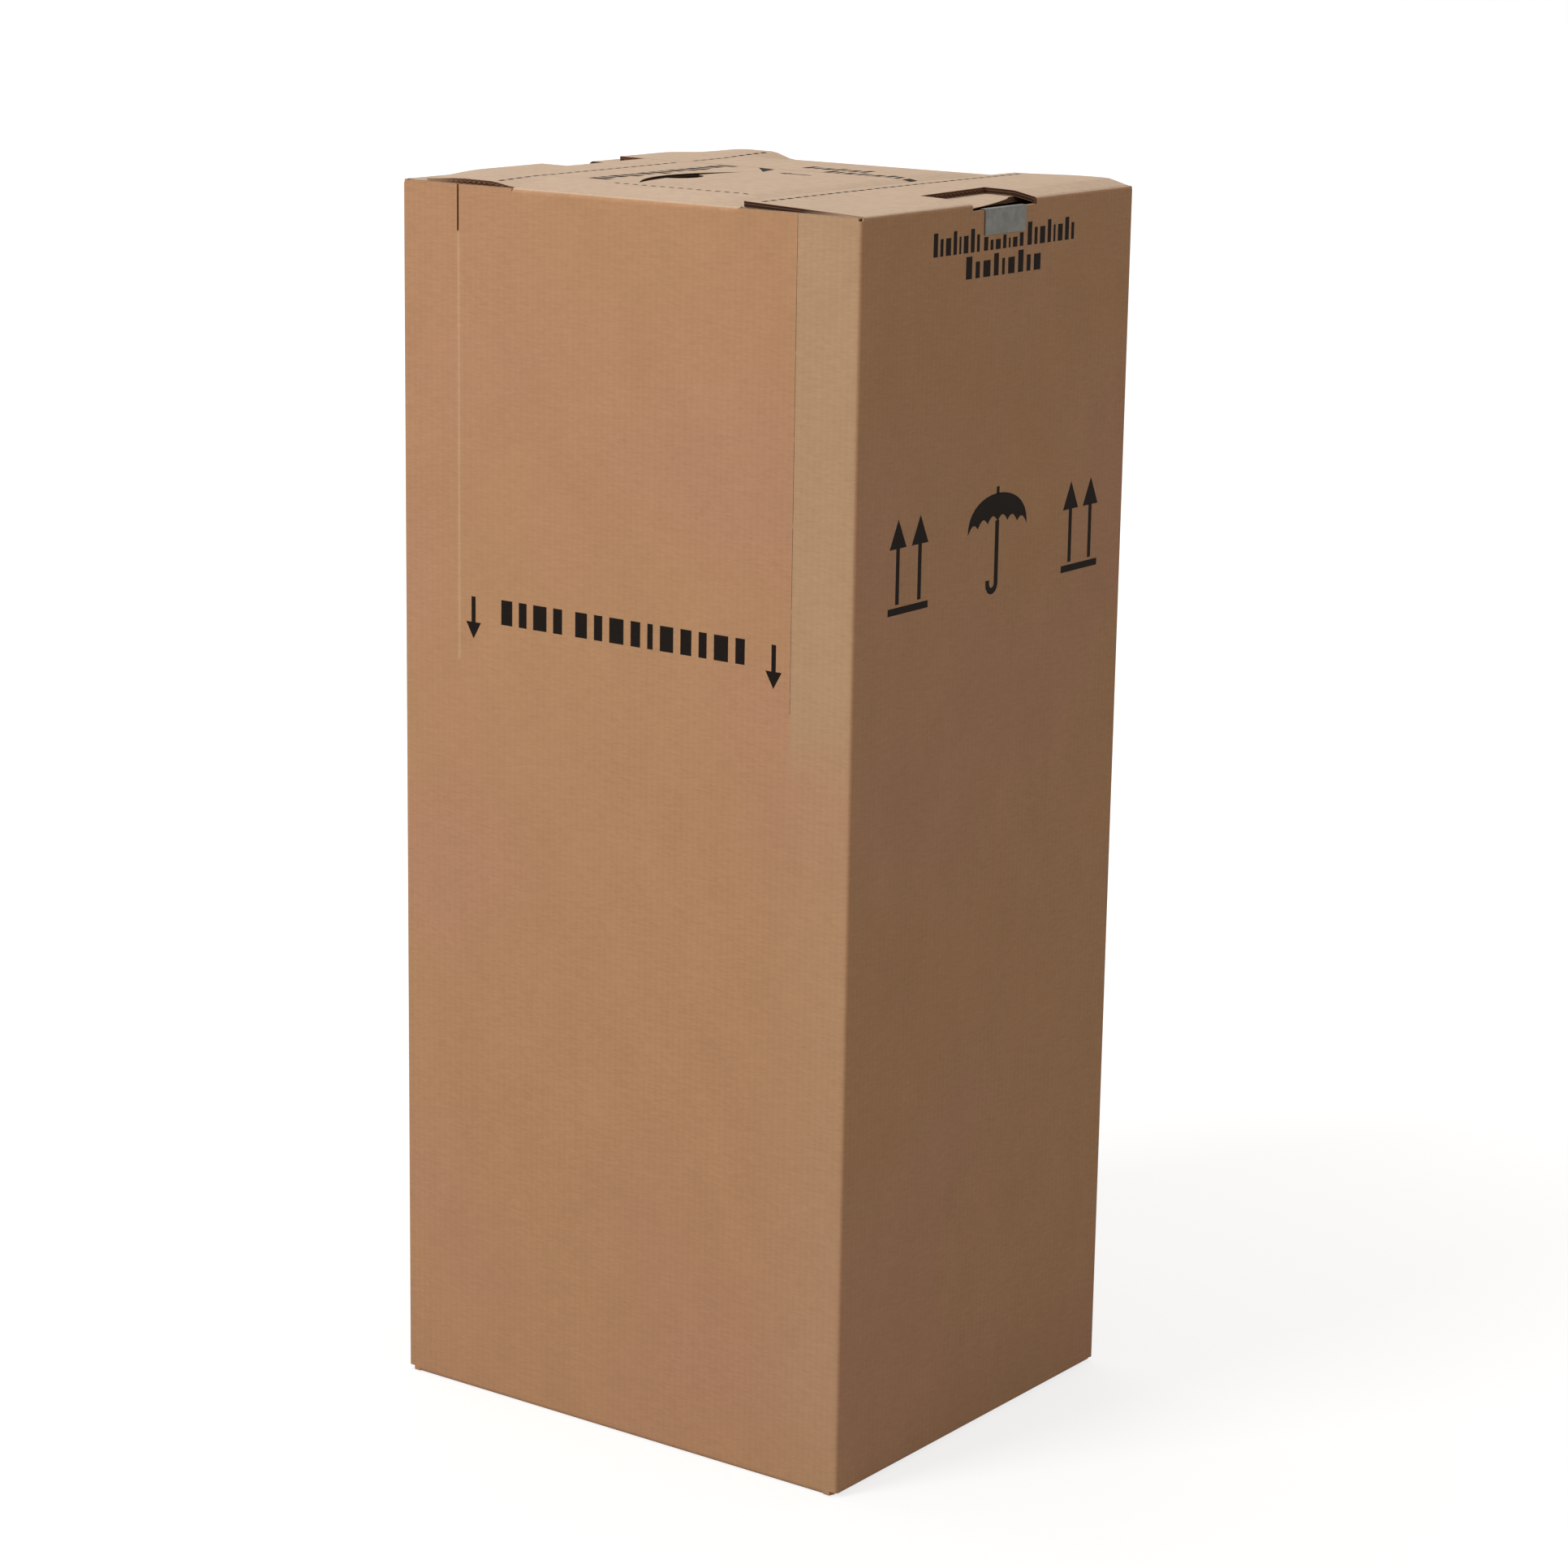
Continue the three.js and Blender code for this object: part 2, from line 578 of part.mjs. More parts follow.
// One hook of the rail: a plate outside the wall, a bend over the notch, and a drop to the rail's height
function railHook(side) {
  const overZ = NOTCH_Z + SEAT + STEEL;
  const outX = OUTER_X + SEAT + STEEL;
  const inX = INNER_X - SEAT - STEEL;
  const railZ = overZ - RAIL_DROP;
  const endX = inX - RAIL_FLAT_END;
  const r = RAIL_BEND;
  const t = STEEL;
  const outer = [
    [outX, overZ - HOOK_PLATE_LENGTH],
    ...arc(outX - r, overZ - r, r, 0, 90, 4),
    ...arc(inX + r, overZ - r, r, 90, 180, 4),
    ...arc(inX - r + t, railZ + r - t, r - t, 0, -90, 3),
    [endX, railZ - t],
  ];
  const inner = [
    [endX, railZ - 2 * t],
    ...arc(inX - r + t, railZ + r - t, r, -90, 0, 3),
    ...arc(inX + r, overZ - r, r - t, 180, 90, 4),
    ...arc(outX - r, overZ - r, r - t, 90, 0, 4),
    [outX - t, overZ - HOOK_PLATE_LENGTH],
  ];
  const points = [...outer, ...inner].map(([x, z]) => [side * x, z]);
  return alongY(points, HOOK_CENTRE_Y - RAIL_WIDTH / 2, HOOK_CENTRE_Y + RAIL_WIDTH / 2);
}

// The part that carries the hangers: the flat strip folds into an inverted channel away from its ends
function railRidge() {
  const endX = INNER_X - SEAT - STEEL - RAIL_FLAT_END + STEEL;
  const z = NOTCH_Z + SEAT + STEEL - RAIL_DROP - STEEL;
  const top = RAIL_RIDGE_WIDTH / 2;
  const leg = (RAIL_WIDTH - RAIL_RIDGE_WIDTH) / 2;
  const section = (x) => {
    const formed = smooth((endX - Math.abs(x)) / RAIL_FORMING_LENGTH);
    const angle = THREE.MathUtils.degToRad(RAIL_LEG_ANGLE * formed);
    const dy = Math.cos(angle);
    const dz = Math.sin(angle);
    const upper = [[top + leg * dy, -leg * dz], [top, 0], [-top, 0], [-top - leg * dy, -leg * dz]];
    const inset = STEEL * Math.tan(angle / 2);
    const lower = [
      [-top - leg * dy + STEEL * dz, -leg * dz - STEEL * dy],
      [-top + inset, -STEEL],
      [top - inset, -STEEL],
      [top + leg * dy - STEEL * dz, -leg * dz - STEEL * dy],
    ];
    return [...upper, ...lower].map(([y, dropZ]) => [x, HOOK_CENTRE_Y + y, z + dropZ]);
  };
  const formingPlaces = spread(endX - RAIL_FORMING_LENGTH, endX, 6);
  const places = [...formingPlaces.map((x) => -x).reverse(), ...formingPlaces];
  return lofted(places.map(section));
}

function clothesRail() {
  return joined([railHook(-1), railRidge(), railHook(1)]);
}

// Materials and the finished group

const kraft = { color: 0xb4855f, roughness: 0.88, metalness: 0 };
const materials = {
  carton: new THREE.MeshStandardMaterial(kraft),
  right_flap: new THREE.MeshStandardMaterial({ ...kraft, color: 0xc4a483 }),
  clothes_rail: new THREE.MeshStandardMaterial({ color: 0xa3a6a6, roughness: 0.38, metalness: 1 }),
};

function part(name, body) {
  const mesh = new THREE.Mesh(geometryOf(body), materials[name]);
  mesh.name = name;
  return mesh;
}

const box = new THREE.Group();
box.name = 'wardrobe_box';
box.add(part('carton', carton()));
box.add(part('right_flap', rightFlap()));
box.add(part('clothes_rail', clothesRail()));

export default box;
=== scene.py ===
"""A tall wardrobe moving box of double-wall kraft board, with its right top flap and the steel rail
that hangs over its side walls, on a plain pale floor.

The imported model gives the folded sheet, the right flap and the rail. This scene dresses them: it
paints the board and the steel, shows the flutes in the cut edges, covers the fold of the right
flap, and prints the marks. Lengths in the classes are millimetres, except in the room and the
camera. Blender's own lengths are metres.
"""

import logging
import math
from collections.abc import Callable, Sequence
from dataclasses import dataclass, field
from enum import Enum

import bpy
from mathutils import Matrix, Vector


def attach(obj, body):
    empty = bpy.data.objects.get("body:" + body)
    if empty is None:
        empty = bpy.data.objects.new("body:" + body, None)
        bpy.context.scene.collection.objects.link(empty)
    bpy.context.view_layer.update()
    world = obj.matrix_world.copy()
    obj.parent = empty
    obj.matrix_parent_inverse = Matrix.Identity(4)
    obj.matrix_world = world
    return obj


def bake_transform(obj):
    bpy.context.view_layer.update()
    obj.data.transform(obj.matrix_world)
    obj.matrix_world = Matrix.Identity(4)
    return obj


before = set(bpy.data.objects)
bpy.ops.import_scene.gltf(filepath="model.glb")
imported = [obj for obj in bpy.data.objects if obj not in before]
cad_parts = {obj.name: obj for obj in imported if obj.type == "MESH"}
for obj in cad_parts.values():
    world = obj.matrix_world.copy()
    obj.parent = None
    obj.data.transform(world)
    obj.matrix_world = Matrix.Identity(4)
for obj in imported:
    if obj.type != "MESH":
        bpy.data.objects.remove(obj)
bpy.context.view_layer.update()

MM = 0.001
PRINT_LIFT = 0.1
PRINT_THICKNESS = 0.05
PROJECTION_HEIGHT = 1400.0
SMOOTH_ANGLE = math.radians(40)

# The sRGB curve: a straight toe, then a power with an offset.
SRGB_TOE_END = 0.04045
SRGB_TOE_SLOPE = 12.92
SRGB_OFFSET = 0.055
SRGB_POWER = 2.4

log = logging.getLogger("wardrobe_box")

Point = tuple[float, float]
Place = tuple[float, float, float]
Sides = tuple[float, float, float, float]
Row = tuple[float, float, float, float, int]
Colour = tuple[float, float, float, float]
Socket = bpy.types.NodeSocket
Tree = bpy.types.NodeTree


class Body(Enum):
    """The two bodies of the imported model."""

    BOX = "box"
    RIGHT_FLAP = "right_flap"


class Node(Enum):
    """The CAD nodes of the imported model."""

    CARTON = "carton"
    RIGHT_FLAP = "right_flap"
    RAIL = "clothes_rail"


class Wall(Enum):
    """The face of the box that a mark is printed on."""

    FRONT = "front"
    RIGHT = "right"
    TOP = "top"


# Small helpers


def linear(hex_colour: str) -> Colour:
    """Turn an sRGB colour into the linear one that a shader takes.

    Args:
        hex_colour: The colour as six hex digits, such as "b4855f".

    Returns:
        Linear red, green and blue, and an alpha of 1.
    """
    channels = [int(hex_colour[i : i + 2], 16) / 255 for i in (0, 2, 4)]
    curve = [((c + SRGB_OFFSET) / (1 + SRGB_OFFSET)) ** SRGB_POWER for c in channels]
    values = [c / SRGB_TOE_SLOPE if c <= SRGB_TOE_END else bent for c, bent in zip(channels, curve)]
    return (values[0], values[1], values[2], 1.0)


def add_node(
    tree: Tree, kind: str, settings: dict | None = None, inputs: dict | None = None
) -> bpy.types.Node:
    """Add one shader node with its settings, values and links.

    Args:
        tree: The node tree that takes the node.
        kind: The node's type name.
        settings: Values for the node's own properties.
        inputs: Values or sockets for its inputs, by name or number. A socket is linked.

    Returns:
        The new node.
    """
    node = tree.nodes.new(kind)
    for name, value in (settings or {}).items():
        setattr(node, name, value)
    for name, value in (inputs or {}).items():
        if isinstance(value, Socket):
            tree.links.new(value, node.inputs[name])
        else:
            node.inputs[name].default_value = value
    return node


def math_node(tree: Tree, operation: str, *values: float | Socket) -> Socket:
    """Add a Math node.

    Args:
        tree: The node tree that takes the node.
        operation: The node's operation.
        values: A number or a socket for each of its inputs.

    Returns:
        Its result.
    """
    settings = {"operation": operation}
    return add_node(tree, "ShaderNodeMath", settings, dict(enumerate(values))).outputs[0]


def ramp(
    tree: Tree, value: Socket, start: float, end: float, low: float = 0.0, high: float = 1.0
) -> Socket:
    """Map a value smoothly from one range to another, held at both ends.

    Args:
        tree: The node tree that takes the node.
        value: The value to map.
        start: Where the result is low.
        end: Where the result is high.
        low: The result at start.
        high: The result at end.

    Returns:
        The mapped value.
    """
    settings = {"interpolation_type": "SMOOTHSTEP"}
    places = {"Value": value, "From Min": start, "From Max": end, "To Min": low, "To Max": high}
    return add_node(tree, "ShaderNodeMapRange", settings, places).outputs[0]


def mix_colours(
    tree: Tree, factor: Socket, first: Colour | Socket, second: Colour | Socket
) -> Socket:
    """Mix two colours.

    Args:
        tree: The node tree that takes the node.
        factor: 0 for the first colour and 1 for the second.
        first: A colour or a socket.
        second: A colour or a socket.

    Returns:
        The mixed colour.
    """
    inputs = {0: factor, 6: first, 7: second}
    return add_node(tree, "ShaderNodeMix", {"data_type": "RGBA"}, inputs).outputs[2]


def new_material(name: str) -> tuple[bpy.types.Material, Tree, bpy.types.Node]:
    """Make an empty material with a Principled shader.

    Args:
        name: The material's name.

    Returns:
        The material, its node tree and its Principled node.
    """
    material = bpy.data.materials.new(name)
    material.use_nodes = True
    tree = material.node_tree
    return material, tree, tree.nodes["Principled BSDF"]


def deselect_all() -> None:
    """Leave nothing selected, so that an operator acts on the new piece alone."""
    for item in bpy.context.selected_objects:
        item.select_set(False)


def make_active(item: bpy.types.Object) -> None:
    """Select one object alone and make it the active one.

    Args:
        item: The object.
    """
    deselect_all()
    item.select_set(True)
    bpy.context.view_layer.objects.active = item


def settle(item: bpy.types.Object) -> None:
    """Move an object's place into its mesh, so that it sits at the origin and is unscaled."""
    make_active(item)
    bpy.ops.object.transform_apply(location=True, rotation=True, scale=True)


def apply_modifier(item: bpy.types.Object, kind: str, **settings: object) -> None:
    """Add a modifier with its settings and apply it.

    Args:
        item: The object to change.
        kind: The modifier's type name.
        settings: Values for the modifier's properties.
    """
    make_active(item)
    modifier = item.modifiers.new(kind.title(), kind)
    for name, value in settings.items():
        setattr(modifier, name, value)
    bpy.ops.object.modifier_apply(modifier=modifier.name)


def edit_faces(item: bpy.types.Object, chosen: Callable[[bpy.types.MeshPolygon], bool]) -> None:
    """Go into edit mode with only the chosen faces selected.

    Args:
        item: The object to edit.
        chosen: Tells for a face whether it is selected.
    """
    make_active(item)
    bpy.ops.object.mode_set(mode="EDIT")
    bpy.ops.mesh.select_mode(type="FACE")
    bpy.ops.mesh.select_all(action="DESELECT")
    bpy.ops.object.mode_set(mode="OBJECT")
    for face in item.data.polygons:
        face.select = chosen(face)
    bpy.ops.object.mode_set(mode="EDIT")


def copy_by(item: bpy.types.Object, across: float) -> bpy.types.Object:
    """Copy a flat mark, with a mesh of its own, and move the copy.

    Args:
        item: The mark, which stays where it is.
        across: How far the copy goes to the right, in millimetres.

    Returns:
        The copy.
    """
    make_active(item)
    bpy.ops.object.duplicate(linked=False)
    bpy.ops.transform.translate(value=(across * MM, 0, 0))
    copy = bpy.context.view_layer.objects.active
    settle(copy)
    return copy


def join(items: list[bpy.types.Object], name: str) -> bpy.types.Object:
    """Join several meshes into one object.

    Args:
        items: The meshes. The first one takes in the others.
        name: The name of the joined object.

    Returns:
        The joined object.
    """
    make_active(items[0])
    for item in items:
        item.select_set(True)
    if len(items) > 1:
        bpy.ops.object.join()
    joined = bpy.context.view_layer.objects.active
    joined.name = name
    return joined


def unit_grid(name: str, cuts: int) -> bpy.types.Object:
    """Make a flat square grid with sides of 1, centred on the origin.

    Args:
        name: The name of the piece that it becomes.
        cuts: How often each side is divided.

    Returns:
        The grid as an object.
    """
    deselect_all()
    bpy.ops.mesh.primitive_plane_add(size=1, location=(0, 0, 0))
    grid = bpy.context.object
    grid.name = name
    bpy.ops.object.mode_set(mode="EDIT")
    bpy.ops.mesh.select_all(action="SELECT")
    bpy.ops.mesh.subdivide(number_cuts=cuts)
    bpy.ops.object.mode_set(mode="OBJECT")
    return grid


def outline(points: Sequence[Point]) -> bpy.types.Object:
    """Make a flat face with the given outline, in millimetres, in the plane z = 0.

    Args:
        points: The corners, in order.

    Returns:
        The face as an object.
    """
    deselect_all()
    bpy.ops.mesh.primitive_circle_add(vertices=len(points), radius=1, fill_type="NGON")
    face = bpy.context.object
    for vertex, (x, y) in zip(face.data.vertices, points):
        vertex.co = (x * MM, y * MM, 0)
    return face


def bar(x0: float, x1: float, y0: float, y1: float, cuts: int = 0) -> bpy.types.Object:
    """Make a flat rectangle, in millimetres, in the plane z = 0.

    Args:
        x0: Its left side.
        x1: Its right side.
        y0: Its lower side.
        y1: Its upper side.
        cuts: How often its sides are divided, so that it can follow a bowed face.

    Returns:
        The rectangle as an object.
    """
    deselect_all()
    middle = ((x0 + x1) / 2 * MM, (y0 + y1) / 2 * MM, 0)
    bpy.ops.mesh.primitive_plane_add(size=MM, location=middle)
    face = bpy.context.object
    face.scale = (x1 - x0, y1 - y0, 1)
    settle(face)
    if cuts:
        bpy.ops.object.mode_set(mode="EDIT")
        bpy.ops.mesh.select_all(action="SELECT")
        bpy.ops.mesh.subdivide(number_cuts=cuts)
        bpy.ops.object.mode_set(mode="OBJECT")
    return face


def arc_points(
    cx: float, cy: float, radius: float, start: float, end: float, steps: int = 12
) -> list[Point]:
    """Points on an arc.

    Args:
        cx: The arc's middle, across.
        cy: The arc's middle, upwards.
        radius: Its radius.
        start: The angle of the first point, in degrees.
        end: The angle of the last point, in degrees.
        steps: The number of stretches between the points.

    Returns:
        The points, in order.
    """
    angles = [math.radians(start + (end - start) * i / steps) for i in range(steps + 1)]
    return [(cx + radius * math.cos(a), cy + radius * math.sin(a)) for a in angles]


def arrow(
    axis: float, tip: float, foot: float, width: float, head: float, shaft: float
) -> list[Point]:
    """Outline an upright arrow.

    Args:
        axis: Where its shaft stands, across.
        tip: The height of its tip.
        foot: The height of its other end.
        width: The width of its head.
        head: The height of its head, below zero where it points down.
        shaft: The width of its shaft.

    Returns:
        The corners, in order.
    """
    neck = tip - head
    half, side = width / 2, shaft / 2
    left = [(axis - side, foot), (axis - side, neck), (axis - half, neck)]
    right = [(axis + half, neck), (axis + side, neck), (axis + side, foot)]
    return left + [(axis, tip)] + right


# Finishes


@dataclass(frozen=True)
class KraftBoard:
    """Kraft liner on corrugated board: brown unbleached paper, calendered, glued over the flutes.

    To the eye it is matt, a little cloudy, with short fibres that lie across the box and the faint
    lines of the flutes below, which run up and down the walls. Real fibres are too fine to show in
    the picture, so they are drawn as coarse as they need to be.
    """

    name: str
    flutes_along_x: bool = False
    colour: str = "b58862"
    # Painted sheen: the band right of the door is bent, catches the light and is painted paler.
    sheen_strip_colour: str = "b4906d"
    # Painted sheen: faces that look up take this paler colour, as if they catch the light at a low
    # angle.
    top_sheen_colour: str = "c8ac92"
    warm_colour: str = "b5836a"
    crease_colour: str = "c9a17c"

    cloud_size: float = 60.0
    cloud_stretch: Place = (1.0, 1.0, 0.6)
    fibre_size: float = 2.4
    fibre_stretch: Place = (0.22, 0.22, 1.0)
    grain_size: float = 1.3
    warm_size: float = 320.0
    even: Place = (1.0, 1.0, 1.0)
    noise_roughness: float = 0.6
    flute_pitch: float = 7.8

    cloud_tone: float = 0.12
    fibre_tone: float = 0.30
    grain_tone: float = 0.16
    flute_tone: float = 0.014
    fibre_relief: float = 0.5
    grain_relief: float = 0.25
    flute_relief: float = 0.22
    relief_height: float = 0.22
    relief_strength: float = 0.6
    warm_range: Point = (0.42, 0.68)
    warm_share: float = 0.42
    shade_range: Point = (0.85, 1.15)
    roughness_range: Point = (0.86, 0.74)
    specular: float = 0.3

    side_normal: float = 0.5
    lit_upward_range: Point = (0.55, 0.9)
    forward_range: Point = (-0.8, -0.95)

    door_x: float = 222.0
    door_z: float = 840.0
    sheen_strip_edge: float = 1.0
    sheen_strip_fade: Point = (-60.0, 70.0)
    sheen_strip_share: float = 0.4
    sheen_strip_foot: Point = (-90.0, 20.0)
    crease_inset: float = 1.6
    crease_width: Point = (1.6, 0.4)
    crease_share: float = 0.7
    crease_foot: Point = (-6.0, 4.0)
    crease_top: Point = (1310.0, 1290.0)

    dent_centre: Place = (300.0, 30.0, 462.0)
    dent_radius: float = 20.0
    dent_width: float = 2.5
    dent_start: Point = (40.0, 50.0)
    dent_depth: float = -6.0

    def tone(self, tree: Tree, place: Socket, across: Socket) -> tuple[Socket, Socket]:
        """Make the liner's cloudiness, fibres, grain and flute lines.

        Args:
            tree: The node tree.
            place: Object coordinates.
            across: The coordinate across the flutes.

        Returns:
            The brightness that multiplies the colour, and the height for the bump.
        """
        cloud = self.noise(tree, place, self.cloud_size, self.cloud_stretch, detail=3)
        fibre = self.noise(tree, place, self.fibre_size, self.fibre_stretch, detail=4)
        grain = self.noise(tree, place, self.grain_size, self.even, detail=2)
        turns = math_node(tree, "MULTIPLY", across, 2 * math.pi / (self.flute_pitch * MM))
        flute = math_node(tree, "SINE", turns)
        tones = (
            (cloud, self.cloud_tone),
            (fibre, self.fibre_tone),
            (grain, self.grain_tone),
            (flute, self.flute_tone),
        )
        reliefs = (
            (fibre, self.fibre_relief),
            (grain, self.grain_relief),
            (flute, self.flute_relief),
        )
        shade: float | Socket = 1 - (self.cloud_tone + self.fibre_tone + self.grain_tone) / 2
        height: float | Socket = 0.0
        for value, weight in tones:
            shade = math_node(tree, "MULTIPLY_ADD", value, weight, shade)
        for value, weight in reliefs:
            height = math_node(tree, "MULTIPLY_ADD", value, weight, height)
        return shade, height

    def noise(self, tree: Tree, place: Socket, size: float, stretch: Place, detail: int) -> Socket:
        """Add a noise of a real size.

        Args:
            tree: The node tree.
            place: Object coordinates.
            size: The size of its spots, in millimetres.
            stretch: A factor below 1 makes the spots longer along that axis.
            detail: How many finer layers it has.

        Returns:
            The noise, from 0 to 1.
        """
        scales = {"Vector": place, "Scale": stretch}
        inputs = {
            "Vector": add_node(tree, "ShaderNodeMapping", {}, scales).outputs[0],
            "Scale": 1 / (size * MM),
            "Detail": detail,
            "Roughness": self.noise_roughness,
        }
        return add_node(tree, "ShaderNodeTexNoise", {"normalize": True}, inputs).outputs["Fac"]

    def build(self) -> bpy.types.Material:
        """Make the material.

        Returns:
            The material.
        """
        material, tree, shader = new_material(self.name)
        place = add_node(tree, "ShaderNodeTexCoord").outputs["Object"]
        xyz = add_node(tree, "ShaderNodeSeparateXYZ", {}, {0: place}).outputs
        normal = add_node(tree, "ShaderNodeNewGeometry").outputs["Normal"]
        facing = add_node(tree, "ShaderNodeSeparateXYZ", {}, {0: normal}).outputs
        side = math_node(tree, "ABSOLUTE", facing[0])
        sideways = math_node(tree, "GREATER_THAN", side, self.side_normal)
        across: Socket = xyz[1]
        if not self.flutes_along_x:
            across = self.choose(tree, sideways, xyz[0], xyz[1])
        shade, height = self.tone(tree, place, across)

        # Mask of the painted sheen on faces that look up.
        lit_upward = ramp(tree, facing[2], *self.lit_upward_range)
        forward = ramp(tree, facing[1], *self.forward_range)
        sheen_strip = self.sheen_strip(tree, xyz, forward)
        crease = self.crease(tree, xyz, forward)
        patches = self.noise(tree, place, self.warm_size, self.even, detail=1)
        warm = ramp(tree, patches, *self.warm_range, 0.0, self.warm_share)
        colour = mix_colours(tree, warm, linear(self.colour), linear(self.warm_colour))
        # Painted sheen on the bent band right of the door.
        colour = mix_colours(tree, sheen_strip, colour, linear(self.sheen_strip_colour))
        colour = mix_colours(tree, crease, colour, linear(self.crease_colour))
        # Painted sheen: faces that look up are mixed towards the paler colour.
        colour = mix_colours(tree, lit_upward, colour, linear(self.top_sheen_colour))
        inputs = {0: colour, "Scale": shade}
        shaded = add_node(tree, "ShaderNodeVectorMath", {"operation": "SCALE"}, inputs).outputs[0]
        tree.links.new(shaded, shader.inputs["Base Color"])

        rough = ramp(tree, shade, *self.shade_range, *self.roughness_range)
        tree.links.new(rough, shader.inputs["Roughness"])
        surface = math_node(tree, "MULTIPLY_ADD", self.dent(tree, place), self.dent_depth, height)
        inputs = {
            "Strength": self.relief_strength,
            "Distance": self.relief_height * MM,
            "Height": surface,
        }
        bump = add_node(tree, "ShaderNodeBump", {}, inputs).outputs[0]
        tree.links.new(bump, shader.inputs["Normal"])
        shader.inputs["Specular IOR Level"].default_value = self.specular
        return material

    def choose(self, tree: Tree, factor: Socket, first: Socket, second: Socket) -> Socket:
        """Take one of two values, or a mix of them.

        Args:
            tree: The node tree.
            factor: 0 for the first value and 1 for the second.
            first: The first value.
            second: The second value.

        Returns:
            The value.
        """
        inputs = {"Factor": factor, "A": first, "B": second}
        return add_node(tree, "ShaderNodeMix", {"data_type": "FLOAT"}, inputs).outputs[0]

    def span(self, middle: float, ends: Point) -> Point:
        """Turn a place and two offsets from it into two places in metres."""
        return ((middle + ends[0]) * MM, (middle + ends[1]) * MM)

    def sheen_strip(self, tree: Tree, xyz: list[Socket], forward: Socket) -> Socket:
        """Mask the painted sheen on the bent band right of the door, sharp beside its cut and
        fading out below it.

        Args:
            tree: The node tree.
            xyz: The three object coordinates.
            forward: The mask of the front face.

        Returns:
            The mask.
        """
        edge = (-self.sheen_strip_edge, self.sheen_strip_edge)
        sharp = ramp(tree, xyz[0], *self.span(self.door_x, edge))
        fade = self.span(self.door_x, self.sheen_strip_fade)
        soft = ramp(tree, xyz[0], *fade, 0.0, self.sheen_strip_share)
        high = ramp(tree, xyz[2], *self.span(self.door_z, self.sheen_strip_foot))
        where = self.choose(tree, high, soft, sharp)
        return math_node(tree, "MULTIPLY", where, forward)

    def crease(self, tree: Tree, xyz: list[Socket], forward: Socket) -> Socket:
        """Mask the pale line where the liner is pressed beside the left cut of the door.

        Args:
            tree: The node tree.
            xyz: The three object coordinates.
            forward: The mask of the front face.

        Returns:
            The mask.
        """
        shifted = math_node(tree, "ADD", xyz[0], (self.door_x - self.crease_inset) * MM)
        away = math_node(tree, "ABSOLUTE", shifted)
        line = ramp(tree, away, *self.span(0.0, self.crease_width), 0.0, self.crease_share)
        above = ramp(tree, xyz[2], *self.span(self.door_z, self.crease_foot))
        below = ramp(tree, xyz[2], *self.span(0.0, self.crease_top))
        band = math_node(tree, "MULTIPLY", above, below)
        return math_node(tree, "MULTIPLY", math_node(tree, "MULTIPLY", line, band), forward)

    def dent(self, tree: Tree, place: Socket) -> Socket:
        """Make the shallow curved dent low on the right wall.

        Args:
            tree: The node tree.
            place: Object coordinates.

        Returns:
            How deep the dent is, from 0 to 1.
        """
        inputs = {0: place, 1: Vector(self.dent_centre) * MM}
        distance = add_node(tree, "ShaderNodeVectorMath", {"operation": "DISTANCE"}, inputs)
        past = math_node(tree, "SUBTRACT", distance.outputs[1], self.dent_radius * MM)
        line = ramp(tree, math_node(tree, "ABSOLUTE", past), self.dent_width * MM, 0.0)
        y = add_node(tree, "ShaderNodeSeparateXYZ", {}, {0: place}).outputs[1]
        part = ramp(tree, y, *self.span(0.0, self.dent_start))
        return math_node(tree, "MULTIPLY", line, part)


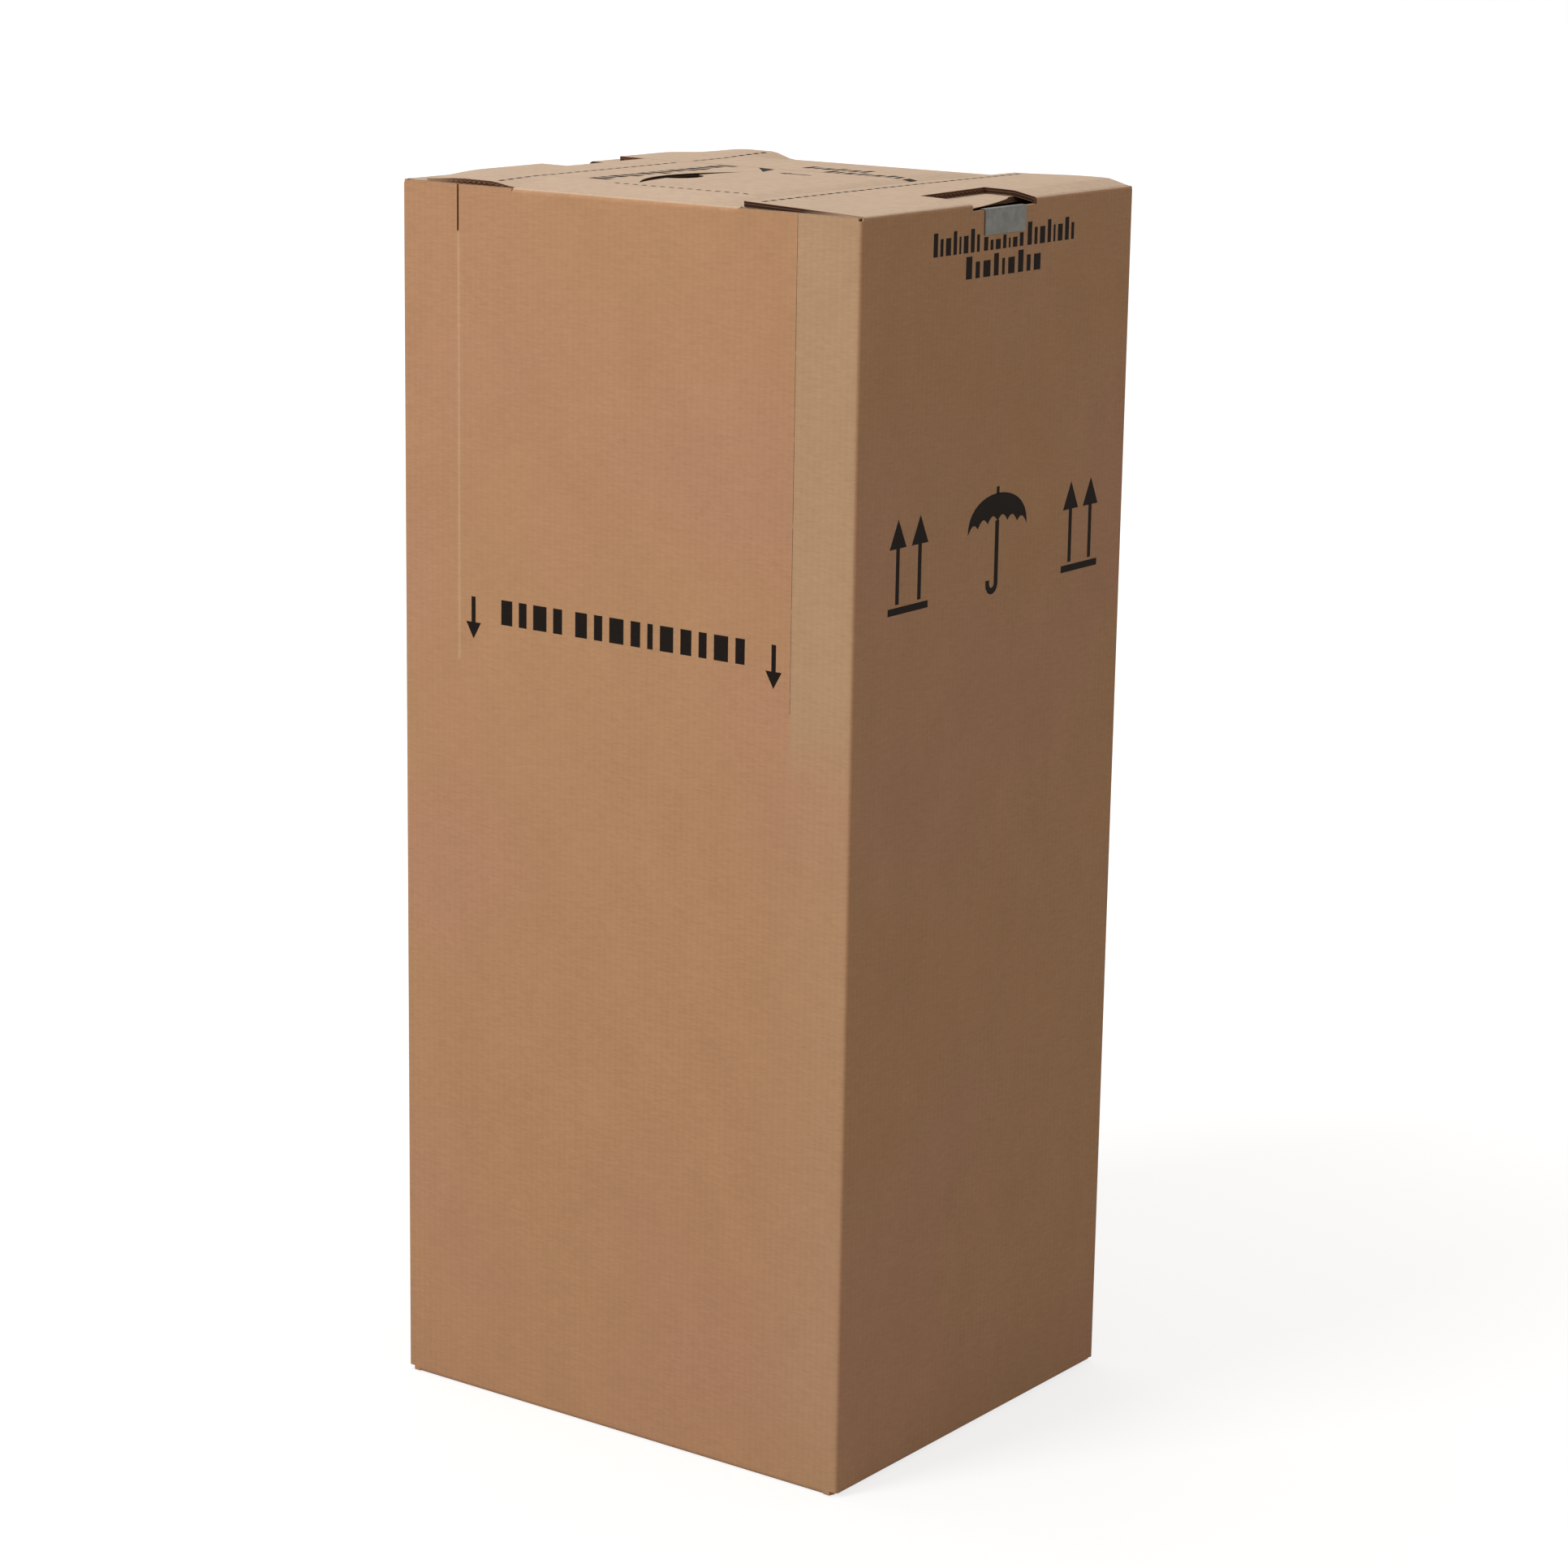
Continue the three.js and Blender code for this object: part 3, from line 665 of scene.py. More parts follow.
@dataclass(frozen=True)
class FlutedEdge:
    """The cut edge of double-wall board: three liners with two waved papers between them.

    To the eye it is a pale line at both faces, another in the middle, and hollows between the
    waves. The hollows are painted dark as shade, and the paper is painted darker as shade on cuts
    that lie in shadow. Where the cut faces up it is painted as pale as the liner, a painted
    highlight; near the top's corners and the hook, where it is pressed flat, it is also painted
    pale as a highlight. The waves follow two attributes of the mesh, the depth through the board
    and the run along the edge.
    """

    name: str = "double_wall_cut_edge"
    # Painted shade: the paper colour is darkened because the cut edges lie in shadow, and the
    # hollows between the waves are painted near black.
    paper: str = "80593f"
    hollow_shade: str = "2c1c12"
    # Pale colour of cuts pressed flat, also a painted highlight near the top's corners and the
    # hook.
    pressed: str = "b8967a"
    outer_pitch: float = 6.4
    inner_pitch: float = 7.8
    middle: float = 0.43
    middle_line: Point = (0.06, 0.03)
    face_line: Point = (0.40, 0.44)
    wave_line: Point = (0.10, 0.05)
    wave_margin: float = 0.08
    # Painted highlight: cuts that face up are painted as pale as the liner, as if lit from above.
    lit_upward_range: Point = (0.6, 0.9)
    lit_upward_share: float = 0.8
    pressed_highlight_share: float = 0.85
    relief_height: float = 0.8
    relief_strength: float = 0.8
    roughness: float = 0.9
    specular: float = 0.2

    def attribute(self, tree: Tree, name: str) -> Socket:
        """Read a value that the mesh carries."""
        return add_node(tree, "ShaderNodeAttribute", {"attribute_name": name}).outputs["Fac"]

    def build(self) -> bpy.types.Material:
        """Make the material.

        Returns:
            The material.
        """
        material, tree, shader = new_material(self.name)
        depth = self.attribute(tree, "board_depth")
        run = self.attribute(tree, "edge_run")
        half = self.middle / 2
        reach = half - self.wave_margin
        outer = self.wave(tree, depth, run, half, reach, self.outer_pitch)
        half = (1 + self.middle) / 2
        reach = (1 - self.middle) / 2 - self.wave_margin
        inner = self.wave(tree, depth, run, half, reach, self.inner_pitch)
        waves = math_node(tree, "MAXIMUM", outer, inner)
        waves = math_node(tree, "MULTIPLY", waves, self.attribute(tree, "edge_wave"))
        from_half = math_node(tree, "ABSOLUTE", math_node(tree, "SUBTRACT", depth, 0.5))
        faces = ramp(tree, from_half, *self.face_line)
        from_middle = math_node(tree, "ABSOLUTE", math_node(tree, "SUBTRACT", depth, self.middle))
        lines = math_node(tree, "MAXIMUM", faces, ramp(tree, from_middle, *self.middle_line))
        paper = math_node(tree, "MAXIMUM", lines, waves)
        # Painted shade: dark hollows between pale lines of paper.
        open_cut = mix_colours(tree, paper, linear(self.hollow_shade), linear(self.paper))

        normal = add_node(tree, "ShaderNodeNewGeometry").outputs["Normal"]
        height = add_node(tree, "ShaderNodeSeparateXYZ", {}, {0: normal}).outputs[2]
        # Painted highlight on cuts that face up.
        lit_upward = ramp(tree, height, *self.lit_upward_range, 0.0, self.lit_upward_share)
        # Painted highlight where the cut is pressed flat, near the top's corners and the hook.
        flat = self.attribute(tree, "edge_pressed_highlight")
        flat = math_node(tree, "MULTIPLY", flat, self.pressed_highlight_share)
        pale = math_node(tree, "MAXIMUM", lit_upward, flat)
        colour = mix_colours(tree, pale, open_cut, linear(self.pressed))
        tree.links.new(colour, shader.inputs["Base Color"])
        inputs = {
            "Strength": self.relief_strength,
            "Distance": self.relief_height * MM,
            "Height": paper,
        }
        bump = add_node(tree, "ShaderNodeBump", {}, inputs).outputs[0]
        tree.links.new(bump, shader.inputs["Normal"])
        shader.inputs["Roughness"].default_value = self.roughness
        shader.inputs["Specular IOR Level"].default_value = self.specular
        return material

    def wave(
        self, tree: Tree, depth: Socket, run: Socket, centre: float, reach: float, pitch: float
    ) -> Socket:
        """Mask one waved paper.

        Args:
            tree: The node tree.
            depth: The depth through the board, from 0 to 1.
            run: The place along the edge, in metres.
            centre: The depth of the wave's middle.
            reach: How far the wave swings from there.
            pitch: The length of one wave, in millimetres.

        Returns:
            The mask.
        """
        turns = math_node(tree, "MULTIPLY", run, 2 * math.pi / (pitch * MM))
        swing = math_node(tree, "MULTIPLY_ADD", math_node(tree, "SINE", turns), reach, centre)
        away = math_node(tree, "ABSOLUTE", math_node(tree, "SUBTRACT", depth, swing))
        return ramp(tree, away, *self.wave_line)


@dataclass(frozen=True)
class PrintInk:
    """Black flexographic ink on paper, printed from a soft plate.

    To the eye it is thin and matt, a little browner where the paper's grain shows through.
    """

    name: str = "flexographic_ink"
    colour: str = "140e0a"
    worn_colour: str = "241a12"
    spot_size: float = 1.6
    wear_range: Point = (0.45, 0.75)
    spot_range: Point = (0.2, 0.8)
    roughness_range: Point = (0.62, 0.8)
    specular: float = 0.08

    def build(self) -> bpy.types.Material:
        """Make the material.

        Returns:
            The material.
        """
        material, tree, shader = new_material(self.name)
        place = add_node(tree, "ShaderNodeTexCoord").outputs["Object"]
        inputs = {"Vector": place, "Scale": 1 / (self.spot_size * MM), "Detail": 3}
        spots = add_node(tree, "ShaderNodeTexNoise", {}, inputs).outputs["Fac"]
        worn = ramp(tree, spots, *self.wear_range)
        colour = mix_colours(tree, worn, linear(self.colour), linear(self.worn_colour))
        tree.links.new(colour, shader.inputs["Base Color"])
        rough = ramp(tree, spots, *self.spot_range, *self.roughness_range)
        tree.links.new(rough, shader.inputs["Roughness"])
        shader.inputs["Specular IOR Level"].default_value = self.specular
        return material


@dataclass(frozen=True)
class GalvanisedSteel:
    """Hot-dip galvanised sheet steel, brushed a little in use.

    To the eye it is a dull grey metal with large soft crystals and fine lines along the sheet. The
    lines are drawn coarser than real ones, so that they show.
    """

    name: str = "galvanised_sheet_steel"
    colour: str = "5c5a54"
    bright: str = "72706a"
    crystal_size: float = 7.0
    crystal_share: float = 0.4
    brush_size: float = 0.8
    brush_stretch: Place = (0.05, 1.0, 0.05)
    brush_share: float = 0.35
    tone_range: Point = (0.1, 0.9)
    roughness_range: Point = (0.5, 0.38)
    relief_height: float = 0.1
    relief_strength: float = 0.2

    def build(self) -> bpy.types.Material:
        """Make the material.

        Returns:
            The material.
        """
        material, tree, shader = new_material(self.name)
        place = add_node(tree, "ShaderNodeTexCoord").outputs["Object"]
        inputs = {"Vector": place, "Scale": 1 / (self.crystal_size * MM)}
        crystals = add_node(tree, "ShaderNodeTexVoronoi", {}, inputs).outputs["Color"]
        tone = add_node(tree, "ShaderNodeSeparateXYZ", {}, {0: crystals}).outputs[0]
        inputs = {"Vector": place, "Scale": self.brush_stretch}
        stretched = add_node(tree, "ShaderNodeMapping", {}, inputs).outputs[0]
        inputs = {"Vector": stretched, "Scale": 1 / (self.brush_size * MM), "Detail": 2}
        brushed = add_node(tree, "ShaderNodeTexNoise", {}, inputs).outputs["Fac"]
        spangle = math_node(tree, "MULTIPLY", tone, self.crystal_share)
        blend = math_node(tree, "MULTIPLY_ADD", brushed, self.brush_share, spangle)
        colour = mix_colours(tree, blend, linear(self.colour), linear(self.bright))
        tree.links.new(colour, shader.inputs["Base Color"])
        rough = ramp(tree, blend, *self.tone_range, *self.roughness_range)
        tree.links.new(rough, shader.inputs["Roughness"])
        inputs = {
            "Strength": self.relief_strength,
            "Distance": self.relief_height * MM,
            "Height": brushed,
        }
        bump = add_node(tree, "ShaderNodeBump", {}, inputs).outputs[0]
        tree.links.new(bump, shader.inputs["Normal"])
        shader.inputs["Metallic"].default_value = 1.0
        return material


# Sub-assemblies


@dataclass
class Finishes:
    """All materials of the box, built once."""

    board: bpy.types.Material
    flap_board: bpy.types.Material
    edge: bpy.types.Material
    ink: bpy.types.Material
    pressed: bpy.types.Material
    steel: bpy.types.Material


@dataclass
class PackedNodes:
    """The CAD nodes, which keep their shape and get their finish."""

    finishes: Finishes

    def dress(self) -> None:
        """Give each node its material."""
        materials = {
            Node.CARTON: self.finishes.board,
            Node.RIGHT_FLAP: self.finishes.flap_board,
            Node.RAIL: self.finishes.steel,
        }
        for node, material in materials.items():
            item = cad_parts[node.value]
            item.data.materials.clear()
            item.data.materials.append(material)
            log.info("dressed %s as %s", node.value, material.name)


@dataclass
class CutEdges:
    """The board's cut edges along the top flaps, openings and walls, laid over one CAD node."""

    node: Node
    body: Body
    finish: bpy.types.Material
    half_width: float = 300.0
    half_depth: float = 255.0
    board: float = 6.0
    lowest: float = 1320.0
    lift: float = 0.08
    wall_tops: Point = (1342.0, 1349.2)
    left_flap_x: float = -270.0
    ear_x: float = 148.0
    hook_x: float = 280.0
    ear_end: float = 270.0
    hook_y: float = 45.0
    # Where the cut edge is pressed flat and painted pale as a highlight.
    pressed_highlight_x: float = 225.0
    pressed_highlight_reach: float = 50.0
    merge_distance: float = 0.01
    liner_margin: float = 0.3
    side_margin: float = 0.2
    wall_margin: float = 0.1
    side_normal: float = 0.5
    flat_normal: float = 0.6
    up_normal: float = 0.95

    def is_cut(self, centre: Vector, normal: Vector) -> bool:
        """Tell a cut edge from a liner.

        Args:
            centre: The face's middle, in millimetres.
            normal: The way it faces.

        Returns:
            True for a cut edge of a top flap or of a wall.
        """
        if centre.z < self.lowest:
            return False
        inner_x = self.half_width - self.board
        inner_y = self.half_depth - self.board
        over_hook = self.node is Node.RIGHT_FLAP and centre.x > self.hook_x
        if over_hook and normal.x > self.side_normal:
            return False
        if abs(normal.z) < self.flat_normal:
            on_side = abs(centre.x) > inner_x - self.liner_margin
            on_liner = on_side and abs(normal.x) > self.side_normal
            return not on_liner and abs(centre.y) < inner_y - self.side_margin
        on_wall = abs(centre.x) > inner_x or abs(centre.y) > inner_y
        on_fold = abs(centre.x) < self.ear_x and self.node is Node.CARTON
        low, high = self.wall_tops
        return normal.z > self.up_normal and on_wall and not on_fold and low < centre.z < high

    def build(self) -> bpy.types.Object:
        """Copy the node's cut faces into a thin piece of its own, with what the finish reads.

        Returns:
            The piece.
        """
        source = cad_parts[self.node.value]
        data = source.data.copy()
        piece = bpy.data.objects.new(f"{self.node.value}_cut_edges", data)
        bpy.context.scene.collection.objects.link(piece)
        data.materials.clear()
        data.materials.append(self.finish)
        make_active(piece)
        bpy.ops.object.mode_set(mode="EDIT")
        bpy.ops.mesh.select_all(action="SELECT")
        bpy.ops.mesh.remove_doubles(threshold=self.merge_distance * MM)
        bpy.ops.object.mode_set(mode="OBJECT")
        depths = self.depths(data)
        attributes = {
            "board_depth": [depths[v.index] for v in data.vertices],
            "edge_run": [v.co.x + v.co.y for v in data.vertices],
            "edge_wave": [self.waved(v) for v in data.vertices],
            "edge_pressed_highlight": [self.pressed(v) for v in data.vertices],
        }
        for name, values in attributes.items():
            data.attributes.new(name, "FLOAT", "POINT").data.foreach_set("value", values)
        edit_faces(piece, lambda face: not self.is_cut(face.center / MM, face.normal))
        bpy.ops.mesh.delete(type="FACE")
        bpy.ops.mesh.select_all(action="SELECT")
        bpy.ops.transform.shrink_fatten(value=self.lift * MM)
        bpy.ops.object.mode_set(mode="OBJECT")
        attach(piece, self.body.value)
        log.info("%s: %d faces", piece.name, len(data.polygons))
        return piece

    def depths(self, data: bpy.types.Mesh) -> list[float]:
        """Find how deep through the board each vertex lies.

        Args:
            data: The node's merged mesh.

        Returns:
            0 at the outer face of the board and 1 at its inner face, for each vertex.
        """
        highest = [-1.0] * len(data.vertices)
        for face in data.polygons:
            if abs(face.normal.z) > self.flat_normal:
                for index in face.vertices:
                    highest[index] = max(highest[index], face.normal.z)
        side_x = self.half_width - self.board - self.wall_margin
        side_y = self.half_depth - self.board - self.wall_margin
        values = []
        for vertex in data.vertices:
            x, y, z = vertex.co / MM
            in_wall = z < self.wall_tops[1]
            if in_wall and abs(x) > side_x:
                values.append((self.half_width - abs(x)) / self.board)
            elif in_wall and abs(y) > side_y:
                values.append((self.half_depth - abs(y)) / self.board)
            else:
                values.append(0.0 if highest[vertex.index] > self.flat_normal else 1.0)
        return values

    def waved(self, vertex: bpy.types.MeshVertex) -> float:
        """Tell whether the cut at a vertex crosses the flutes.

        Args:
            vertex: A vertex of the node's merged mesh.

        Returns:
            1 where it crosses them and 0 where it runs along them.
        """
        sideways = abs(vertex.normal.x) > abs(vertex.normal.y)
        on_side_flap = self.node is Node.RIGHT_FLAP or vertex.co.x < self.left_flap_x * MM
        return float(sideways == on_side_flap)

    def pressed(self, vertex: bpy.types.MeshVertex) -> float:
        """Tell how pale the cut is painted at a vertex, near the top's corners and the hook, where
        it is pressed flat and takes a painted highlight.

        Args:
            vertex: A vertex of the node's merged mesh.

        Returns:
            0 where the flutes are open and 1 where the cut is pressed flat and painted pale as a
            highlight.
        """
        x, y, _ = vertex.co / MM
        share = 0.0
        if abs(y) > self.half_depth - 2 * self.board:
            share = (abs(x) - self.pressed_highlight_x) / self.pressed_highlight_reach
        elif abs(x - self.ear_end) < 1:
            share = (self.hook_y - y) / self.pressed_highlight_reach
        return min(1.0, max(0.0, share))


@dataclass
class FoldSkin:
    """The outer liner round the fold of the right flap, which bends between wall and flap."""

    finish: bpy.types.Material
    fold_x: float = 300.0
    top: float = 1350.0
    radius: float = 4.0
    lift: float = 0.12
    steps: int = 10
    stretches: tuple[Point, ...] = ((-248.4, -58.0), (62.0, 248.4))
    thickness: float = 0.25

    def stretch(self, y0: float, y1: float, name: str) -> bpy.types.Object:
        """Build the liner along one stretch of the fold.

        Args:
            y0: Where the stretch begins.
            y1: Where it ends.
            name: The piece's name.

        Returns:
            The piece.
        """
        reach = self.radius + self.lift
        middle_x = self.fold_x - self.radius
        middle_z = self.top - self.radius
        skin = unit_grid(name, self.steps - 1)
        for vertex in skin.data.vertices:
            angle = (vertex.co.x + 0.5) * math.pi / 2
            along = y0 + (vertex.co.y + 0.5) * (y1 - y0)
            x = middle_x + reach * math.cos(angle)
            z = middle_z + reach * math.sin(angle)
            vertex.co = (x * MM, along * MM, z * MM)
        bpy.ops.object.mode_set(mode="EDIT")
        bpy.ops.mesh.select_all(action="SELECT")
        bpy.ops.mesh.normals_make_consistent(inside=False)
        bpy.ops.object.mode_set(mode="OBJECT")
        if skin.data.polygons[0].normal.z + skin.data.polygons[0].normal.x < 0:
            skin.data.flip_normals()
        apply_modifier(skin, "SOLIDIFY", thickness=self.thickness * MM, offset=-1)
        bpy.ops.object.shade_smooth_by_angle(angle=SMOOTH_ANGLE)
        skin.data.materials.append(self.finish)
        return skin

    def build(self) -> None:
        """Build both stretches, each a quarter round over the fold."""
        for number, (y0, y1) in enumerate(self.stretches):
            skin = self.stretch(y0, y1, f"right_fold_liner_{number}")
            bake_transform(skin)
            log.info("%s from y %.0f to %.0f", skin.name, y0, y1)


@dataclass
class HookLip:
    """The crushed end of the front ear, whose pale liner reaches over the notch to the plate."""

    finish: bpy.types.Material
    root_x: float = 268.0
    front_y: float = -52.0
    back_y: float = 50.0
    long_reach: float = 28.0
    short_reach: float = 4.0
    root_z: float = 1347.6
    root_slope: float = 0.0155
    tip_z: float = 1345.3
    thickness: float = 0.5
    taper: float = 0.8
    droop: float = 1.5
    cuts: int = 11

    def build(self) -> None:
        """Shape the lip from a grid, longest at the front end, and thicken it."""
        lip = unit_grid("hook_opening_lip", self.cuts)
        for vertex in lip.data.vertices:
            out, back = vertex.co.x + 0.5, vertex.co.y + 0.5
            spare = self.long_reach - self.short_reach
            reach = self.short_reach + spare * (1 - back) ** self.taper
            y = self.front_y + back * (self.back_y - self.front_y)
            root = self.root_z + self.root_slope * y
            fall = (root - self.tip_z) * reach / self.long_reach
            drop = fall * out**self.droop
            vertex.co = Vector((self.root_x + out * reach, y, root - drop)) * MM
        apply_modifier(lip, "SOLIDIFY", thickness=self.thickness * MM, offset=-1)
        bpy.ops.object.shade_smooth_by_angle(angle=SMOOTH_ANGLE)
        lip.data.materials.append(self.finish)
        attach(lip, Body.BOX.value)
        log.info("%s: %d faces", lip.name, len(lip.data.polygons))


@dataclass
class Print:
    """Marks printed on one face of the box, drawn flat and then laid on it."""

    name: str
    wall: Wall
    finish: bpy.types.Material
    body: Body = Body.BOX
    target: Node = Node.CARTON
    marks: list[bpy.types.Object] = field(default_factory=list)
    half_width: float = 300.0
    half_depth: float = 255.0

    def bars(self, boxes: list[Sides], cuts: int = 0) -> None:
        """Add rectangles, each as left, right, lower and upper side."""
        self.marks += [bar(*sides, cuts) for sides in boxes]

    def repeat(self, first: Sides, step: Point, count: int) -> None:
        """Add a rectangle and its copies, one step apart.

        Args:
            first: The rectangle's left, right, lower and upper side.
            step: How far each copy lies from the one before, across and upwards.
            count: The number of rectangles.
        """
        mark = bar(*first)
        offset = (step[0] * MM, step[1] * MM, 0)
        apply_modifier(
            mark,
            "ARRAY",
            count=count,
            use_relative_offset=False,
            use_constant_offset=True,
            constant_offset_displace=offset,
        )
        self.marks.append(mark)

    def shape(self, points: Sequence[Point], copies: tuple[float, ...] = ()) -> None:
        """Add a filled outline and its copies.

        Args:
            points: The corners, in order.
            copies: How far to the right each copy lies.
        """
        mark = outline(points)
        self.marks += [mark] + [copy_by(mark, across) for across in copies]

    def lay(self) -> bpy.types.Object:
        """Join the marks, lay them on their face, thicken them to a film of ink and let them ride.

        Returns:
            The finished piece.
        """
        piece = join(self.marks, self.name)
        lift = PRINT_LIFT
        places = {
            Wall.FRONT: ((math.pi / 2, 0, 0), (0, -self.half_depth - lift, 0)),
            Wall.RIGHT: ((math.pi / 2, 0, math.pi / 2), (self.half_width + lift, 0, 0)),
            Wall.TOP: ((0, 0, 0), (0, 0, PROJECTION_HEIGHT)),
        }
        turn, place = places[self.wall]
        piece.rotation_euler = turn
        piece.location = Vector(place) * MM
        settle(piece)
        self.face_out(piece)
        if self.wall is Wall.TOP:
            apply_modifier(
                piece,
                "SHRINKWRAP",
                target=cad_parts[self.target.value],
                wrap_method="PROJECT",
                use_project_z=True,
                use_negative_direction=True,
                use_positive_direction=False,
                offset=lift * MM,
            )
        apply_modifier(piece, "SOLIDIFY", thickness=PRINT_THICKNESS * MM, offset=1)
        piece.data.materials.clear()
        piece.data.materials.append(self.finish)
        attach(piece, self.body.value)
        log.info("%s: %d faces", piece.name, len(piece.data.polygons))
        return piece

    def face_out(self, piece: bpy.types.Object) -> None:
        """Turn every mark's face away from the board.

        Args:
            piece: The marks, laid in place.
        """
        outward = {
            Wall.FRONT: Vector((0, -1, 0)),
            Wall.RIGHT: Vector((1, 0, 0)),
            Wall.TOP: Vector((0, 0, 1)),
        }
        edit_faces(piece, lambda face: face.normal.dot(outward[self.wall]) < 0)
        bpy.ops.mesh.flip_normals()
        bpy.ops.object.mode_set(mode="OBJECT")


@dataclass
class CornerSlotShadows:
    """Painted shade at the ends of the slots between the top flaps: a dark disc at each corner of
    the closed top, where the gap lies in shadow.
    """

    finish: bpy.types.Material
    across: float = 295.6
    along: float = 251.2
    radius: float = 2.7
    corners: int = 12

    def build(self) -> None:
        """Lay a small dark disc of painted shade on the walls' cut top at each corner."""
        sheet = Print("corner_slot_shadows", Wall.TOP, self.finish)
        for y in (-self.along, self.along):
            end = 360 - 360 / self.corners
            disc = arc_points(-self.across, y, self.radius, 0, end, self.corners - 1)
            sheet.shape(disc, (2 * self.across,))
        sheet.lay()


@dataclass
class DoorSeams:
    """The liner that closes the perforated cuts beside the door, pressed pale at the left."""

    board: bpy.types.Material
    pressed: bpy.types.Material
    door_x: float = 222.0
    foot: float = 838.0
    open_foot: float = 1298.0
    top: float = 1349.0
    width: float = 1.7
    right_trim: float = 0.6

    def build(self) -> None:
        """Close both cuts, the left one only below the stretch that has sprung open."""
        half = self.width / 2
        left = Print("left_door_seam", Wall.FRONT, self.pressed)
        left.bars([(-self.door_x - half, -self.door_x + half, self.foot, self.open_foot)])
        left.lay()
        right = Print("right_door_seam", Wall.FRONT, self.board)
        end = self.door_x + half - self.right_trim
        right.bars([(self.door_x - half, end, self.foot, self.top)])
        right.lay()


@dataclass
class BarRow:
    """A row of plain upright bars, with uneven widths and two heights."""

    widths: tuple[float, ...] = (1.0, 0.7, 1.2, 0.8, 0.45, 1.1, 0.9, 0.65, 1.15, 0.75)
    heights: tuple[float, ...] = (1.0, 0.74, 0.74, 1.0, 0.74, 0.74, 1.0, 0.74, 0.74, 1.0)
    gap: float = 0.6

    def row(self, start: float, end: float, low: float, high: float, count: int) -> list[Sides]:
        """Spread bars over a row.

        Args:
            start: Where the row begins.
            end: Where it ends.
            low: Its lower line.
            high: Its upper line.
            count: The number of bars.

        Returns:
            The rectangles, each as left, right, lower and upper side.
        """
        parts = [self.widths[i % len(self.widths)] for i in range(count)]
        unit = (end - start) / (sum(parts) + self.gap * (count - 1))
        boxes = []
        x = start
        for i, part in enumerate(parts):
            height = self.heights[i % len(self.heights)] * (high - low)
            boxes.append((x, x + part * unit, low, low + height))
            x += (part + self.gap) * unit
        return boxes


